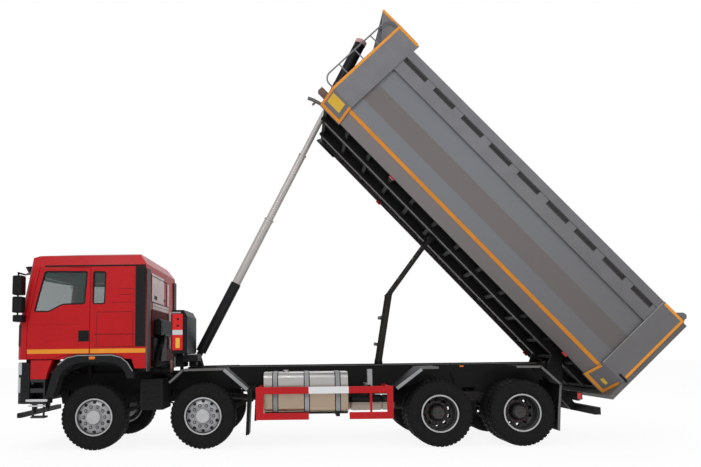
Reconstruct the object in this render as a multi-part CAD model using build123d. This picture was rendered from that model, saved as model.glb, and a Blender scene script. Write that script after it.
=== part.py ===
"""An eight-by-four dump truck, standing with its bed raised, in millimetres.

Frame: +X runs to the rear, +Y to the truck's right-hand side and +Z up, with the ground at Z = 0.
Everything is laid out from the first axle (X = 0) and moved at the end, so that the origin is the
centre of the whole truck's footprint on the ground. Each entry of PIECES becomes one STEP file.
"""
from build123d import *
from math import acos, atan2, cos, degrees, hypot, radians, sin
import os

# ---------------------------------------------------------------- driving dimensions
AXLE_X = {"axle1": 0, "axle2": 1800, "axle3": 5700, "axle4": 7050}
STEERED = ("axle1", "axle2")
DRIVEN = ("axle3", "axle4")
SIDES = {"left": -1, "right": 1}
SEAT_GAP = 0.3            # between two curved pieces of one body that seat in each other
RUNNING_GAP = 0.5         # between a shaft and its bore
PANEL_GAP = 8             # between the cab and what stays on the frame

TYRE_R = 542
TYRE_W = 300
RIM_R = 292               # bead seat
RIM_FLANGE_R = 306
RIM_W = 240
RIM_WALL = 10
STEER_TRACK = 2022
DRIVE_TRACK = 1830
TWIN_SPACING = 336
WHEEL_Z = TYRE_R

FRAME_HALF_WIDTH = 430    # outer face of the rails
RAIL_H = 300
RAIL_FLANGE = 80
RAIL_WALL = 10
RAIL_BOTTOM = 950
RAIL_TOP = RAIL_BOTTOM + RAIL_H
SUBFRAME_H = 85
FRAME_TOP = RAIL_TOP + SUBFRAME_H
FRAME_FRONT = -1190
FRAME_REAR = 8050
SUBFRAME_FRONT = 1440
SUBFRAME_REAR = 7790

KINGPIN_Y = 800
KINGPIN_R = 24
SPINDLE_R = 55
DRUM_R = 205
SPRING_Y = 390            # under the rails
SPRING_W = 86
SPRING_LEAF = 16

# cab
CAB_HALF_WIDTH = 1240
CAB_FRONT = -1420
CAB_REAR = 882
CAB_WALL = 70
CAB_SILL = 1500
CAB_FLOOR = 1640
CAB_ROOF = 3285
TILT_PIVOT = (-1300, 1120)
DOOR_HINGE = (-1095, 1246)
DOOR_FRONT_GAP = 8
DOOR_REAR_GAP = 12
GLASS_T = 6

# bed, in its own axes: x along the floor and z square to it, both from the tipping hinge
BED_HINGE = (7950, 1450)
BED_ANGLE = 47.3
BED_FRONT = -6065
BED_REAR = 826
BED_HALF_WIDTH = 1250
BED_SIDE_Y = 1206         # outer face of the side wall's middle facet
BED_UPPER_Y = 1195        # outer face of the side wall under the top rail
BED_WALL = 30
BED_FLOOR = 110           # underside of the floor
BED_CREASE = (1197, 230)  # Y and height of the fold between sill and side wall
BED_TOP = 1705            # top of the side rails
BED_RAIL_LOW = 1245
BED_RAIL_STEP = 1550      # underside of the rail's thicker upper part
FRONT_POST_TOP = 1862
REAR_POST_TOP = 1712
BED_BEAM_Y = 400
BED_BEAM_W = 80
BED_BEAM_LOW = -30
FRONT_POST_L = 488
REAR_POST_L = 450
GATE_T = 86
GATE_HALF_WIDTH = 1235
GATE_HEIGHTS = (-60, 1690)
GATE_PIVOT = (792, 1800)

# front hoist and stabiliser
HOIST_BASE = (1540, 1500)
HOIST_TOP = (-6330, 737)  # trunnion of the cover, in the bed's axes
HOIST_BASE_L = 1530
HOIST_SLIDES = (1330, 1360, 1184, 1184)
STAGE_R = (95, 80, 67, 54, 42)
STAGE_HEAD = 30
COVER_R = 106
COVER_BORE = 99.5
COVER_BELOW = 400
COVER_ABOVE = 1030
STAB_FOOT = (4861, 1396)
STAB_HEAD = (-3029, -78)  # in the bed's axes
STAB_LOWER_L = 1235
STAB_UPPER_L = 1266
STAB_Y = 240

OIL_TANK = ((1275, -1130, 1575), (1536, -175, 2300))
FUEL_TANK = ((2809, -1150, 557), (4202, -480, 1240))
TILT_ARM = (340, 390)     # inner and outer face of the cab's hinge arms


# ---------------------------------------------------------------- shape helpers
def box(low, high):
    """A box between two corners."""
    size = [b - a for a, b in zip(low, high)]
    middle = [(a + b) / 2 for a, b in zip(low, high)]
    return Pos(*middle) * Box(*size)


def prism_y(points, y_low, y_high):
    """A prism on an X-Z outline, between two values of Y."""
    wire = Polyline(*[(x, y_high, z) for x, z in points], close=True)
    return extrude(make_face(wire), amount=y_high - y_low, dir=(0, -1, 0))


def prism_x(points, x_low, x_high):
    """A prism on a Y-Z outline, between two values of X."""
    wire = Polyline(*[(x_low, y, z) for y, z in points], close=True)
    return extrude(make_face(wire), amount=x_high - x_low, dir=(1, 0, 0))


def rod_y(x, z, r, y_low, y_high):
    """A round bar along Y."""
    return Pos(x, (y_low + y_high) / 2, z) * Rot(90, 0, 0) * Cylinder(r, y_high - y_low)


def rod_x(y, z, r, x_low, x_high):
    """A round bar along X."""
    return Pos((x_low + x_high) / 2, y, z) * Rot(0, 90, 0) * Cylinder(r, x_high - x_low)


def rod_z(x, y, r, z_low, z_high):
    """A round bar along Z."""
    return Pos(x, y, (z_low + z_high) / 2) * Cylinder(r, z_high - z_low)


def both_sides(shape):
    """The shape and its mirror image on the other side of the truck."""
    return Compound(shape.solids() + mirror(shape, about=Plane.XZ).solids())


def turned(profile):
    """A solid of revolution about Y from (y, r) corners."""
    wire = Polyline(*[(r, y, 0) for y, r in profile], close=True)
    return revolve(make_face(wire), axis=Axis.Y)


def on_bed(shape):
    """Bring a shape from the bed's axes to its raised place."""
    return Pos(BED_HINGE[0], 0, BED_HINGE[1]) * Rot(0, BED_ANGLE, 0) * shape


def bed_point(point, angle=BED_ANGLE):
    """Where a point of the bed's axes lies on the truck at a tipping angle."""
    a = radians(angle)
    return (BED_HINGE[0] + point[0] * cos(a) + point[1] * sin(a),
            BED_HINGE[1] - point[0] * sin(a) + point[1] * cos(a))


# ---------------------------------------------------------------- wheels and steering
def tyre(middle):
    """One tyre: bulged walls and a crowned tread, seated on its rim. Middle is its centre in Y."""
    half, shoulder, bead = TYRE_W / 2, TYRE_W / 2 - 38, RIM_W / 2 - 14 - SEAT_GAP
    inner = RIM_R + SEAT_GAP
    edges = [
        Line((inner, middle - bead, 0), (RIM_FLANGE_R + 3, middle - bead, 0)),
        ThreePointArc((RIM_FLANGE_R + 3, middle - bead, 0), (430, middle - half, 0),
                      (TYRE_R - 22, middle - shoulder - 22, 0)),
        Line((TYRE_R - 22, middle - shoulder - 22, 0), (TYRE_R - 4, middle - shoulder, 0)),
        ThreePointArc((TYRE_R - 4, middle - shoulder, 0), (TYRE_R, middle, 0),
                      (TYRE_R - 4, middle + shoulder, 0)),
        Line((TYRE_R - 4, middle + shoulder, 0), (TYRE_R - 22, middle + shoulder + 22, 0)),
        ThreePointArc((TYRE_R - 22, middle + shoulder + 22, 0), (430, middle + half, 0),
                      (RIM_FLANGE_R + 3, middle + bead, 0)),
        Line((RIM_FLANGE_R + 3, middle + bead, 0), (inner, middle + bead, 0)),
        Line((inner, middle + bead, 0), (inner, middle - bead, 0)),
    ]
    return revolve(make_face(Wire(edges)), axis=Axis.Y)


def rim_barrel(middle):
    """The rolled rim that carries one tyre."""
    half = RIM_W / 2
    bead = half - 14
    return turned([
        (middle - half, RIM_FLANGE_R), (middle - bead, RIM_FLANGE_R), (middle - bead, RIM_R),
        (middle - 70, RIM_R), (middle - 50, RIM_R - 18), (middle + 50, RIM_R - 18),
        (middle + 70, RIM_R), (middle + bead, RIM_R), (middle + bead, RIM_FLANGE_R),
        (middle + half, RIM_FLANGE_R), (middle + half, RIM_R - RIM_WALL),
        (middle + 70, RIM_R - RIM_WALL), (middle + 50, RIM_R - 18 - RIM_WALL),
        (middle - 50, RIM_R - 18 - RIM_WALL), (middle - 70, RIM_R - RIM_WALL),
        (middle - half, RIM_R - RIM_WALL)])


HAND_HOLES = 10
FRONT_HOLE = (22, 236)     # radius of a hole and of the ring that it lies on
REAR_HOLE = (30, 212)


def hand_holes(hole, y_low, y_high):
    """The ring of round holes in a wheel disc."""
    ring = []
    for i in range(HAND_HOLES):
        angle = 360 / HAND_HOLES * (i + 0.5)
        ring.append(Rot(0, angle, 0) * rod_y(hole[1], 0, hole[0], y_low, y_high))
    return ring


def steered_wheel():
    """Single front wheel, outside towards +Y, with its drum and hub bored for the spindle."""
    middle = STEER_TRACK / 2
    face = middle + 98
    disc = turned([
        (middle + 62, RIM_R - 8), (middle + 74, RIM_R - 8), (middle + 76, 262), (face, 204),
        (face, 128), (face + 12, 124), (face + 50, 84), (face + 58, 60), (face + 58, 0),
        (face - 60, 0), (face - 60, 128), (face - 14, 132), (face - 14, 199), (middle + 64, 258)])
    drum = turned([(middle - 128, DRUM_R), (middle - 20, DRUM_R), (middle - 14, DRUM_R - 20),
                   (middle - 14, 126), (face - 50, 122), (face - 50, 0), (middle - 128, 0)])
    wheel = rim_barrel(middle) + disc - hand_holes(FRONT_HOLE, face - 60, face + 60) + drum
    return wheel - rod_y(0, 0, SPINDLE_R + RUNNING_GAP, middle - 140, face + 20)


def driven_wheel():
    """Twin rear wheels, outside towards +Y: two rims back to back on one hub and drum."""
    middle = DRIVE_TRACK / 2
    outer, inner = middle + TWIN_SPACING / 2, middle - TWIN_SPACING / 2
    disc = turned([
        (outer - 66, RIM_R - 8), (outer - 54, RIM_R - 8), (middle + 60, 250), (middle + 26, 196),
        (middle + 26, 130), (middle - 26, 130), (middle - 26, 196), (middle - 60, 250),
        (inner + 54, RIM_R - 8), (inner + 66, RIM_R - 8), (middle - 46, 246), (middle - 12, 200),
        (middle, 200), (middle + 12, 200), (middle + 46, 246)])
    hub = turned([(middle - 30, 0), (middle - 30, 150), (middle + 26, 150), (middle + 60, 132),
                  (middle + 150, 118), (middle + 172, 96), (middle + 172, 0)])
    drum = turned([(inner - 110, DRUM_R), (middle - 60, DRUM_R), (middle - 28, 140),
                   (middle - 28, 0), (inner - 110, 0)])
    wheel = disc - hand_holes(REAR_HOLE, middle - 80, middle + 80) + hub + drum
    wheel = rim_barrel(outer) + rim_barrel(inner) + wheel
    return wheel - rod_y(0, 0, SPINDLE_R + RUNNING_GAP, inner - 130, middle + 110)


def knuckle():
    """Steering knuckle towards +Y: a fork over the beam's eye, with the kingpin and the spindle."""
    fork_half, ear, gap = 48, 36, 62
    spindle_end = STEER_TRACK / 2 + 90
    cheek = box((-fork_half, KINGPIN_Y + 52, -gap - ear), (fork_half, KINGPIN_Y + 76, gap + ear))
    body = cheek
    for z in (-gap - ear, gap):
        body += box((-fork_half, KINGPIN_Y, z), (fork_half, KINGPIN_Y + 56, z + ear))
        body += rod_z(0, KINGPIN_Y, fork_half, z, z + ear)
    body += rod_z(0, KINGPIN_Y, KINGPIN_R, -gap - ear - 6, gap + ear + 6)
    body += rod_y(0, 0, SPINDLE_R, KINGPIN_Y + 70, spindle_end)
    return body + prism_y([(0, -gap - ear), (-230, -gap - ear), (-250, -gap - 12), (0, -gap)],
                          KINGPIN_Y - 40, KINGPIN_Y - 4)


# ---------------------------------------------------------------- axles and springs
BEAM_EYE_H = 118
BEAM_DROP = 130


def steered_axle_beam():
    """Forged front beam with a dropped middle and a vertical eye at each end."""
    eye = KINGPIN_Y
    top = [(0, -BEAM_DROP + 50), (520, -BEAM_DROP + 50), (690, 45), (eye, 45)]
    bottom = [(eye, -45), (700, -45), (545, -BEAM_DROP - 50), (0, -BEAM_DROP - 50)]
    half = prism_x(top + bottom, -45, 45)
    web_top = [(0, -BEAM_DROP + 30), (515, -BEAM_DROP + 30), (640, 0), (560, -BEAM_DROP + 10),
               (535, -BEAM_DROP - 30), (0, -BEAM_DROP - 30)]
    for x_low, x_high in ((-60, -14), (14, 60)):
        half -= prism_x(web_top, x_low, x_high)
    half += box((-55, SPRING_Y - 50, -BEAM_DROP + 50), (55, SPRING_Y + 50, -BEAM_DROP + 70))
    half += rod_z(0, eye, 44, -BEAM_EYE_H / 2, BEAM_EYE_H / 2)
    half -= rod_z(0, eye, KINGPIN_R + RUNNING_GAP, -100, 100)
    return half + mirror(half, about=Plane.XZ)


SPRING_SEAT = WHEEL_Z - BEAM_DROP + 70
FRONT_SPRING_HALF = 740
FRONT_SPRING_RISE = 190
FRONT_LEAVES = (1.0, 0.86, 0.7, 0.54, 0.38)    # half-length of each leaf over the longest


def arched_leaf(half_length, radius, inner_z, thickness, width, arch_up):
    """One leaf bent to a radius; its inner face passes through z = inner_z at the middle."""
    sign = 1 if arch_up else -1
    centre = inner_z - sign * radius
    a = half_length / radius

    def at(r, t):
        return (r * sin(t), -width / 2, centre + sign * r * cos(t))
    lower, upper = radius, radius + thickness
    edges = [ThreePointArc(at(lower, -a), at(lower, 0), at(lower, a)), Line(at(lower, a), at(upper, a)),
             ThreePointArc(at(upper, a), at(upper, 0), at(upper, -a)), Line(at(upper, -a), at(lower, -a))]
    return extrude(make_face(Wire(edges)), amount=width, dir=(0, 1, 0))


def front_spring():
    """A leaf pack that sags in the middle, main leaf on top, with an eye at each end."""
    radius = (FRONT_SPRING_HALF ** 2 + FRONT_SPRING_RISE ** 2) / (2 * FRONT_SPRING_RISE)
    pack = None
    for i, share in enumerate(reversed(FRONT_LEAVES)):
        depth = i * SPRING_LEAF
        leaf = arched_leaf(share * FRONT_SPRING_HALF, radius - depth - SPRING_LEAF,
                           depth + SPRING_LEAF, SPRING_LEAF, SPRING_W, False)
        pack = leaf if pack is None else pack + leaf
    top = len(FRONT_LEAVES) * SPRING_LEAF
    for sign in (-1, 1):
        pack += rod_y(sign * FRONT_SPRING_HALF, top + FRONT_SPRING_RISE, EYE_R,
                      -SPRING_W / 2, SPRING_W / 2)
    return pack


EYE_R = 34
EYE_Z = SPRING_SEAT + len(FRONT_LEAVES) * SPRING_LEAF + FRONT_SPRING_RISE
BOGIE_X = (AXLE_X["axle3"] + AXLE_X["axle4"]) / 2
BOGIE_SPRING_Y = 518
BOGIE_LEAF = 22
BOGIE_LEAVES = (1.0, 0.94, 0.8, 0.66, 0.52, 0.38, 0.24)
BOGIE_HALF = 690
BOGIE_PAD_Z = WHEEL_Z + 96
BOGIE_CAMBER = 60
TRUNNION_Z = 500


def bogie_spring():
    """Rear leaf pack, longest leaf below, resting by its ends on the two axle pads."""
    radius = (BOGIE_HALF ** 2 + BOGIE_CAMBER ** 2) / (2 * BOGIE_CAMBER)
    pack = None
    for i, share in enumerate(BOGIE_LEAVES):
        leaf = arched_leaf(share * BOGIE_HALF, radius + i * BOGIE_LEAF,
                           BOGIE_CAMBER + i * BOGIE_LEAF, BOGIE_LEAF, SPRING_W, True)
        pack = leaf if pack is None else pack + leaf
    return pack


def leaf_springs():
    """Four front packs and two rear packs."""
    solids = []
    for name in STEERED:
        solids.append(Pos(AXLE_X[name], SPRING_Y, SPRING_SEAT) * front_spring())
    solids.append(Pos(BOGIE_X, BOGIE_SPRING_Y, BOGIE_PAD_Z) * bogie_spring())
    return both_sides(Compound(solids))


NOSE_L = 300                # drive axle's input housing
NOSE_RISE = 20
TAIL_L = 212                # and its output housing
TAIL_RISE = 150


def drive_axle():
    """Drive axle: banjo housing, tapered tubes, spring pads and bare spindles."""
    inner = DRIVE_TRACK / 2 - TWIN_SPACING / 2 - 112
    profile = [(0, 0), (0, 205), (55, 200), (120, 150), (190, 92), (inner - 50, 80),
               (inner - 50, 120), (inner, 120), (inner, SPINDLE_R),
               (DRIVE_TRACK / 2 + 100, SPINDLE_R), (DRIVE_TRACK / 2 + 100, 0)]
    half = turned(profile)
    pad_low = -10
    half += box((-70, BOGIE_SPRING_Y - 52, pad_low), (70, BOGIE_SPRING_Y + 52, BOGIE_PAD_Z - WHEEL_Z))
    half += rod_x(0, NOSE_RISE, 105, -NOSE_L, 0)
    half += rod_x(0, TAIL_RISE, 62, 0, TAIL_L)
    return half + mirror(half, about=Plane.XZ)


def axles():
    """Two steered beams and two drive axles."""
    solids = []
    for name in STEERED:
        solids += (Pos(AXLE_X[name], 0, WHEEL_Z) * steered_axle_beam()).solids()
    for name in DRIVEN:
        solids += (Pos(AXLE_X[name], 0, WHEEL_Z) * drive_axle()).solids()
    return Compound(solids)


# ---------------------------------------------------------------- frame
CROSSMEMBERS = (            # X middle, length in X, bottom Z, top Z
    (FRAME_FRONT + 60, 120, RAIL_BOTTOM + 30, RAIL_TOP - 30),
    (1340, 90, RAIL_BOTTOM + 100, RAIL_TOP - 20),
    (2650, 120, RAIL_BOTTOM + 60, RAIL_TOP - 60),
    (5180, 120, RAIL_BOTTOM + 60, RAIL_TOP - 60),
    (BOGIE_X, 360, RAIL_BOTTOM + 20, RAIL_TOP - 20),
    (7800, 160, RAIL_BOTTOM + 40, RAIL_TOP - 10),
)
HINGE_EAR = (FRAME_HALF_WIDTH + 12, FRAME_HALF_WIDTH + 52)
HINGE_SHAFT_R = 35
HOIST_EAR = (66, 92)
HOIST_PIN_R = 26
STAB_PIN_R = 18
TILT_PIN_R = 25
HANGER_T = 14


def channel(x_low, x_high, z_low, z_high, wall):
    """Right-hand channel rail, open towards the middle."""
    y = FRAME_HALF_WIDTH
    rail = box((x_low, y - RAIL_FLANGE, z_low), (x_high, y, z_high))
    return rail - box((x_low - 1, y - RAIL_FLANGE - 1, z_low + wall), (x_high + 1, y - wall, z_high - wall))


def spring_hangers():
    """Pairs of plates under the rail that hold the front springs' eyes."""
    plates = []
    for name in STEERED:
        for sign in (-1, 1):
            x = AXLE_X[name] + sign * FRONT_SPRING_HALF
            for y in (SPRING_Y - SPRING_W / 2 - HANGER_T, SPRING_Y + SPRING_W / 2):
                plates.append(prism_y([(x - 75, RAIL_BOTTOM), (x - 38, EYE_Z - 40), (x + 38, EYE_Z - 40),
                                       (x + 75, RAIL_BOTTOM)], y, y + HANGER_T))
            plates.append(box((x - 75, SPRING_Y - SPRING_W / 2 - HANGER_T, RAIL_BOTTOM - 20),
                              (x + 75, SPRING_Y + SPRING_W / 2 + HANGER_T, RAIL_BOTTOM)))
    return plates


def bogie_bracket():
    """Bracket on the rail's side with the trunnion boss under the rear spring."""
    y_in, y_out = FRAME_HALF_WIDTH - 20, BOGIE_SPRING_Y - SPRING_W / 2 - 10
    plate = prism_y([(BOGIE_X - 300, RAIL_TOP - 40), (BOGIE_X - 90, TRUNNION_Z - 60),
                     (BOGIE_X + 90, TRUNNION_Z - 60), (BOGIE_X + 300, RAIL_TOP - 40)],
                    y_in, y_out - 10)
    plate -= prism_y([(BOGIE_X - 130, RAIL_BOTTOM - 30), (BOGIE_X - 60, TRUNNION_Z + 120),
                      (BOGIE_X + 60, TRUNNION_Z + 120), (BOGIE_X + 130, RAIL_BOTTOM - 30)],
                     y_in - 1, y_out)
    trunnion = rod_y(BOGIE_X, TRUNNION_Z, 62, 0, BOGIE_SPRING_Y + 70)
    saddle_top = BOGIE_PAD_Z + BOGIE_CAMBER
    saddle = prism_y([(BOGIE_X - 110, saddle_top), (BOGIE_X - 80, TRUNNION_Z - 70),
                      (BOGIE_X + 80, TRUNNION_Z - 70), (BOGIE_X + 110, saddle_top)],
                     BOGIE_SPRING_Y - SPRING_W / 2, BOGIE_SPRING_Y + SPRING_W / 2)
    saddle -= Pos(BOGIE_X, BOGIE_SPRING_Y, BOGIE_PAD_Z) * arched_leaf(
        BOGIE_HALF, (BOGIE_HALF ** 2 + BOGIE_CAMBER ** 2) / (2 * BOGIE_CAMBER),
        BOGIE_CAMBER, BOGIE_LEAF, SPRING_W + 4, True)
    return [plate, trunnion, saddle]


def tilt_ears():
    """Ears and pins at the rails' front ends, on which the cab tilts."""
    x, z = TILT_PIVOT
    inner, outer = TILT_ARM
    ear = prism_y([(FRAME_FRONT + 120, RAIL_TOP - 10), (x, z + 55), (x - 50, z + 10), (x - 50, z - 40),
                   (x, z - 48), (FRAME_FRONT + 120, RAIL_BOTTOM + 10)], outer + 2, FRAME_HALF_WIDTH)
    return [ear, rod_y(x, z, TILT_PIN_R, inner - 12, outer + 10)]


def hoist_ears():
    """Cross box behind the cab with two ears and the pin of the hoist's foot."""
    x, z = HOIST_BASE
    low, high = HOIST_EAR
    cross = box((x - 110, 0, RAIL_TOP - 60), (x + 110, FRAME_HALF_WIDTH - 5, FRAME_TOP - 5))
    ear = prism_y([(x - 100, FRAME_TOP - 6), (x - 40, z + 50), (x + 40, z + 50), (x + 100, FRAME_TOP - 6)],
                  low, high)
    return [cross, ear, rod_y(x, z, HOIST_PIN_R, 0, high)]


def stabiliser_foot():
    """Cross bar between the subframe rails with the ears on which the lower link turns."""
    x, z = STAB_FOOT
    bar = box((x - 45, 0, RAIL_TOP + 8), (x + 45, FRAME_HALF_WIDTH - 5, RAIL_TOP + 62))
    ear = prism_y([(x - 45, RAIL_TOP + 50), (x - 30, z + 30), (x + 30, z + 30), (x + 45, RAIL_TOP + 50)],
                  STAB_Y + 24, STAB_Y + 50)
    return [bar, ear, rod_y(x, z, STAB_PIN_R, STAB_Y, STAB_Y + 26)]


def bed_hinge_ears():
    """Plates outside the rails' rear ends and the shaft that the bed tips on."""
    x, z = BED_HINGE
    low, high = HINGE_EAR
    ear = prism_y([(x - 190, RAIL_BOTTOM + 30), (x - 190, RAIL_TOP - 20), (x - 70, z + 60), (x + 50, z + 60),
                   (x + 90, z - 20), (x + 90, RAIL_BOTTOM + 30)], FRAME_HALF_WIDTH - 4, high)
    ear -= box((x - 400, 0, RAIL_TOP + 1), (x + 400, low, z + 200))
    return [ear, rod_y(x, z, HINGE_SHAFT_R, 0, high)]


def tank_brackets():
    """L-shaped carriers on the left rail under the fuel tank."""
    brackets = []
    low, high = FUEL_TANK
    for share in TANK_STRAPS:
        x = low[0] + share * (high[0] - low[0])
        brackets.append(box((x - 30, -FRAME_HALF_WIDTH - 46, low[2] - 50),
                            (x + 30, -FRAME_HALF_WIDTH + 4, RAIL_TOP - 40)))
        brackets.append(box((x - 30, low[1] + 60, low[2] - 50), (x + 30, -FRAME_HALF_WIDTH, low[2])))
    return brackets


TANK_STRAPS = (0.135, 0.51, 0.88)


def chassis_frame():
    """Two channel rails, the subframe, the crossmembers and every bracket welded or bolted on."""
    half = channel(FRAME_FRONT, FRAME_REAR, RAIL_BOTTOM, RAIL_TOP, RAIL_WALL)
    half += channel(SUBFRAME_FRONT, SUBFRAME_REAR, RAIL_TOP, FRAME_TOP, RAIL_WALL)
    for x, length, z_low, z_high in CROSSMEMBERS:
        half += box((x - length / 2, 0, z_low), (x + length / 2, FRAME_HALF_WIDTH - 5, z_high))
    for piece in (spring_hangers() + bogie_bracket() + tilt_ears() + hoist_ears() + stabiliser_foot()
                  + bed_hinge_ears()):
        half += piece
    frame = half + mirror(half, about=Plane.XZ)
    for piece in tank_brackets() + oil_tank_stand() + [tow_block(REAR_TOW, 7878)]:
        frame += piece
    return frame


def oil_tank_stand():
    """Two bars from the rail up to the oil tank's underside."""
    low, high = OIL_TANK
    bars = []
    for x in (low[0] + 40, high[0] - 40):
        bars.append(box((x - 25, low[1] + 100, low[2] - 60), (x + 25, high[1] - 40, low[2])))
        bars.append(box((x - 25, -FRAME_HALF_WIDTH + 2, RAIL_TOP - 20),
                        (x + 25, -FRAME_HALF_WIDTH + RAIL_FLANGE, low[2] - 50)))
    return bars


# ---------------------------------------------------------------- running gear between the rails
ENGINE = ((-760, -330, 700), (520, 330, 1400))


def driveline():
    """Engine block, gearbox, transfer shaft and the shaft between the drive axles."""
    low, high = ENGINE
    block = box(low, high)
    block -= box((low[0] - 1, 230, low[2] - 1), (high[0] + 1, high[1] + 1, low[2] + 200))
    block -= box((low[0] - 1, low[1] - 1, low[2] - 1), (high[0] + 1, -230, low[2] + 200))
    gearbox = loft([Pos(high[0] - 5, 0, 980) * Rot(0, 90, 0) * Rectangle(520, 480),
                    Pos(1420, 0, 860) * Rot(0, 90, 0) * Rectangle(300, 320)])
    nose = AXLE_X["axle3"] - NOSE_L
    shaft = leaning_shaft((1400, 840), (nose - 8, WHEEL_Z + NOSE_RISE), 52)
    shaft += rod_x(0, WHEEL_Z + NOSE_RISE, 76, nose - 24, nose)
    for x in (-560, 400):
        for sign in (-1, 1):
            near, far = sorted((sign * (FRAME_HALF_WIDTH - 8), sign * 300))
            block += box((x - 60, near, RAIL_TOP), (x + 60, far, RAIL_TOP + 40))
    return block + gearbox + shaft


def leaning_shaft(start, end, r):
    """A round shaft between two points of the middle plane."""
    dx, dz = end[0] - start[0], end[1] - start[1]
    middle = Pos((start[0] + end[0]) / 2, 0, (start[1] + end[1]) / 2)
    return middle * Rot(0, degrees(atan2(dx, dz)), 0) * Cylinder(r, hypot(dx, dz))


def inter_axle_shaft():
    """Short shaft from the first drive axle over the trunnion to the second."""
    start, nose = AXLE_X["axle3"] + TAIL_L, AXLE_X["axle4"] - NOSE_L
    shaft = leaning_shaft((start + 8, WHEEL_Z + TAIL_RISE), (nose - 8, WHEEL_Z + NOSE_RISE), 36)
    shaft += rod_x(0, WHEEL_Z + TAIL_RISE, 56, start, start + 22)
    return shaft + rod_x(0, WHEEL_Z + NOSE_RISE, 56, nose - 22, nose)


def fuel_tank():
    """Round-cornered tank with three raised straps and a filler cap."""
    low, high = FUEL_TANK
    body = box(low, high)
    body = fillet(body.edges().filter_by(Axis.X), radius=110)
    middle = [(a + b) / 2 for a, b in zip(low, high)]
    for share in TANK_STRAPS:
        x = low[0] + share * (high[0] - low[0])
        hoop = Pos(x, middle[1], middle[2]) * Box(44, high[1] - low[1] + 8, high[2] - low[2] + 8)
        hoop = fillet(hoop.edges().filter_by(Axis.X), radius=114)
        hoop -= box((x - 40, high[1] - 1, low[2] - 20), (x + 40, high[1] + 20, high[2] + 20))
        hoop -= box((x - 40, low[1] - 20, low[2] - 20), (x + 40, high[1] + 20, low[2]))
        body += hoop
    return body + rod_z(low[0] + 365, middle[1] - 120, 52, high[2] - 5, high[2] + 34)


def oil_tank():
    """Upright hydraulic oil tank behind the cab, with its rear top edge cut back."""
    low, high = OIL_TANK
    side = [(low[0], low[2]), (high[0], low[2]), (high[0], high[2] - 110), (high[0] - 60, high[2]),
            (low[0], high[2])]
    tank = prism_y(side, low[1], high[1])
    return tank + rod_z(low[0] + 90, high[1] - 160, 50, high[2] - 5, high[2] + 30)


def air_tanks():
    """Two brake air tanks under the left rail, behind the fuel tank."""
    tanks = []
    for x_low, x_high, y, z in ((4262, 4820, -700, 700), (4262, 4820, 640, 760)):
        tank = rod_x(y, z, 135, x_low, x_high)
        tank = fillet(tank.edges().filter_by(GeomType.CIRCLE), radius=50)
        sign = -1 if y < 0 else 1
        arm = box((4480, min(y, sign * FRAME_HALF_WIDTH), 950), (4560, max(y, sign * FRAME_HALF_WIDTH), 1000))
        arm += box((4480, min(y, y + sign * 60), z), (4560, max(y, y + sign * 60), 1000))
        tanks.append(tank + arm)
    return Compound(tanks)


def muffler():
    """Box silencer on the right rail, with its short outlet."""
    low, high = (2820, FRAME_HALF_WIDTH, 640), (3700, 1080, 1220)
    body = fillet(box(low, high).edges().filter_by(Axis.X), radius=90)
    return body + rod_y(3500, 900, 60, 1060, 1150)


def battery_box():
    """Battery box hung on the left rail between the two steered wheels."""
    low, high = (765, -1120, 650), (1135, -FRAME_HALF_WIDTH - 24, 1150)
    body = box(low, high)
    body = chamfer(body.edges().filter_by(Axis.X).sort_by(Axis.Z)[-2:], length=40)
    for x in (840, 1070):
        body += box((x, high[1] - 5, 960), (x + 50, -FRAME_HALF_WIDTH, 1080))
    for i in range(4):
        z = 720 + i * 100
        body -= box((low[0] + 50, low[1] - 1, z), (high[0] - 50, low[1] + 10, z + 50))
    return body


def air_cleaner():
    """Round air cleaner above the right rail with the pipe to the intake behind the cab."""
    drum = rod_x(-760, 1310, 130, 905, 1225)
    drum = fillet(drum.edges().filter_by(GeomType.CIRCLE), radius=20)
    neck = rod_y(1060, 1310, 60, -FRAME_HALF_WIDTH - 205, -FRAME_HALF_WIDTH)
    return drum + neck


SIDE_GUARD = ((2681, 1215, 475), (4931, 1245, 1006))
GUARD_RAIL_H = 112
GUARD_POST_W = 130


def side_guards():
    """Under-run guard on each side: two rails open in the middle, three posts and arms to the frame."""
    low, high = SIDE_GUARD
    guard = box((low[0], low[1], high[2] - GUARD_RAIL_H), high)
    guard += box(low, (3548, high[1], low[2] + GUARD_RAIL_H))
    guard += box((4212, low[1], low[2]), (high[0], high[1], low[2] + GUARD_RAIL_H))
    for x, width in ((low[0], GUARD_POST_W), (high[0] - GUARD_POST_W + 30, GUARD_POST_W - 30)):
        guard += box((x, low[1], low[2]), (x + width, high[1], high[2]))
    for x in (4550,):
        guard += box((x, low[1] + 4, low[2]), (x + 36, high[1] - 4, high[2]))
    for x in (low[0] + 30, high[0] - 90):
        guard += box((x, FRAME_HALF_WIDTH, 1000 - 50), (x + 60, low[1] + 2, 1000))
    return both_sides(guard)


GUARD_PLATE = 12
MUDGUARD_IN = 640
MUDGUARD_OUT = 1235
FRONT_GUARD_IN = 850
MUDGUARDS = (               # inner Y, centreline of the bent plate as X, Z
    (FRONT_GUARD_IN, ((1250, 1105), (1478, 1312), (2181, 1320), (2562, 990), (2525, 230))),
    (MUDGUARD_IN, ((4978, 990), (5395, 1300), (5690, 1306))),
    (MUDGUARD_IN, ((6970, 1306), (7379, 1300), (7700, 1000), (7655, 600), (7630, 250))),
)
GUARD_ARMS = ((1500, 1294), (2150, 1298), (5400, 1279), (7370, 1279))


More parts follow.
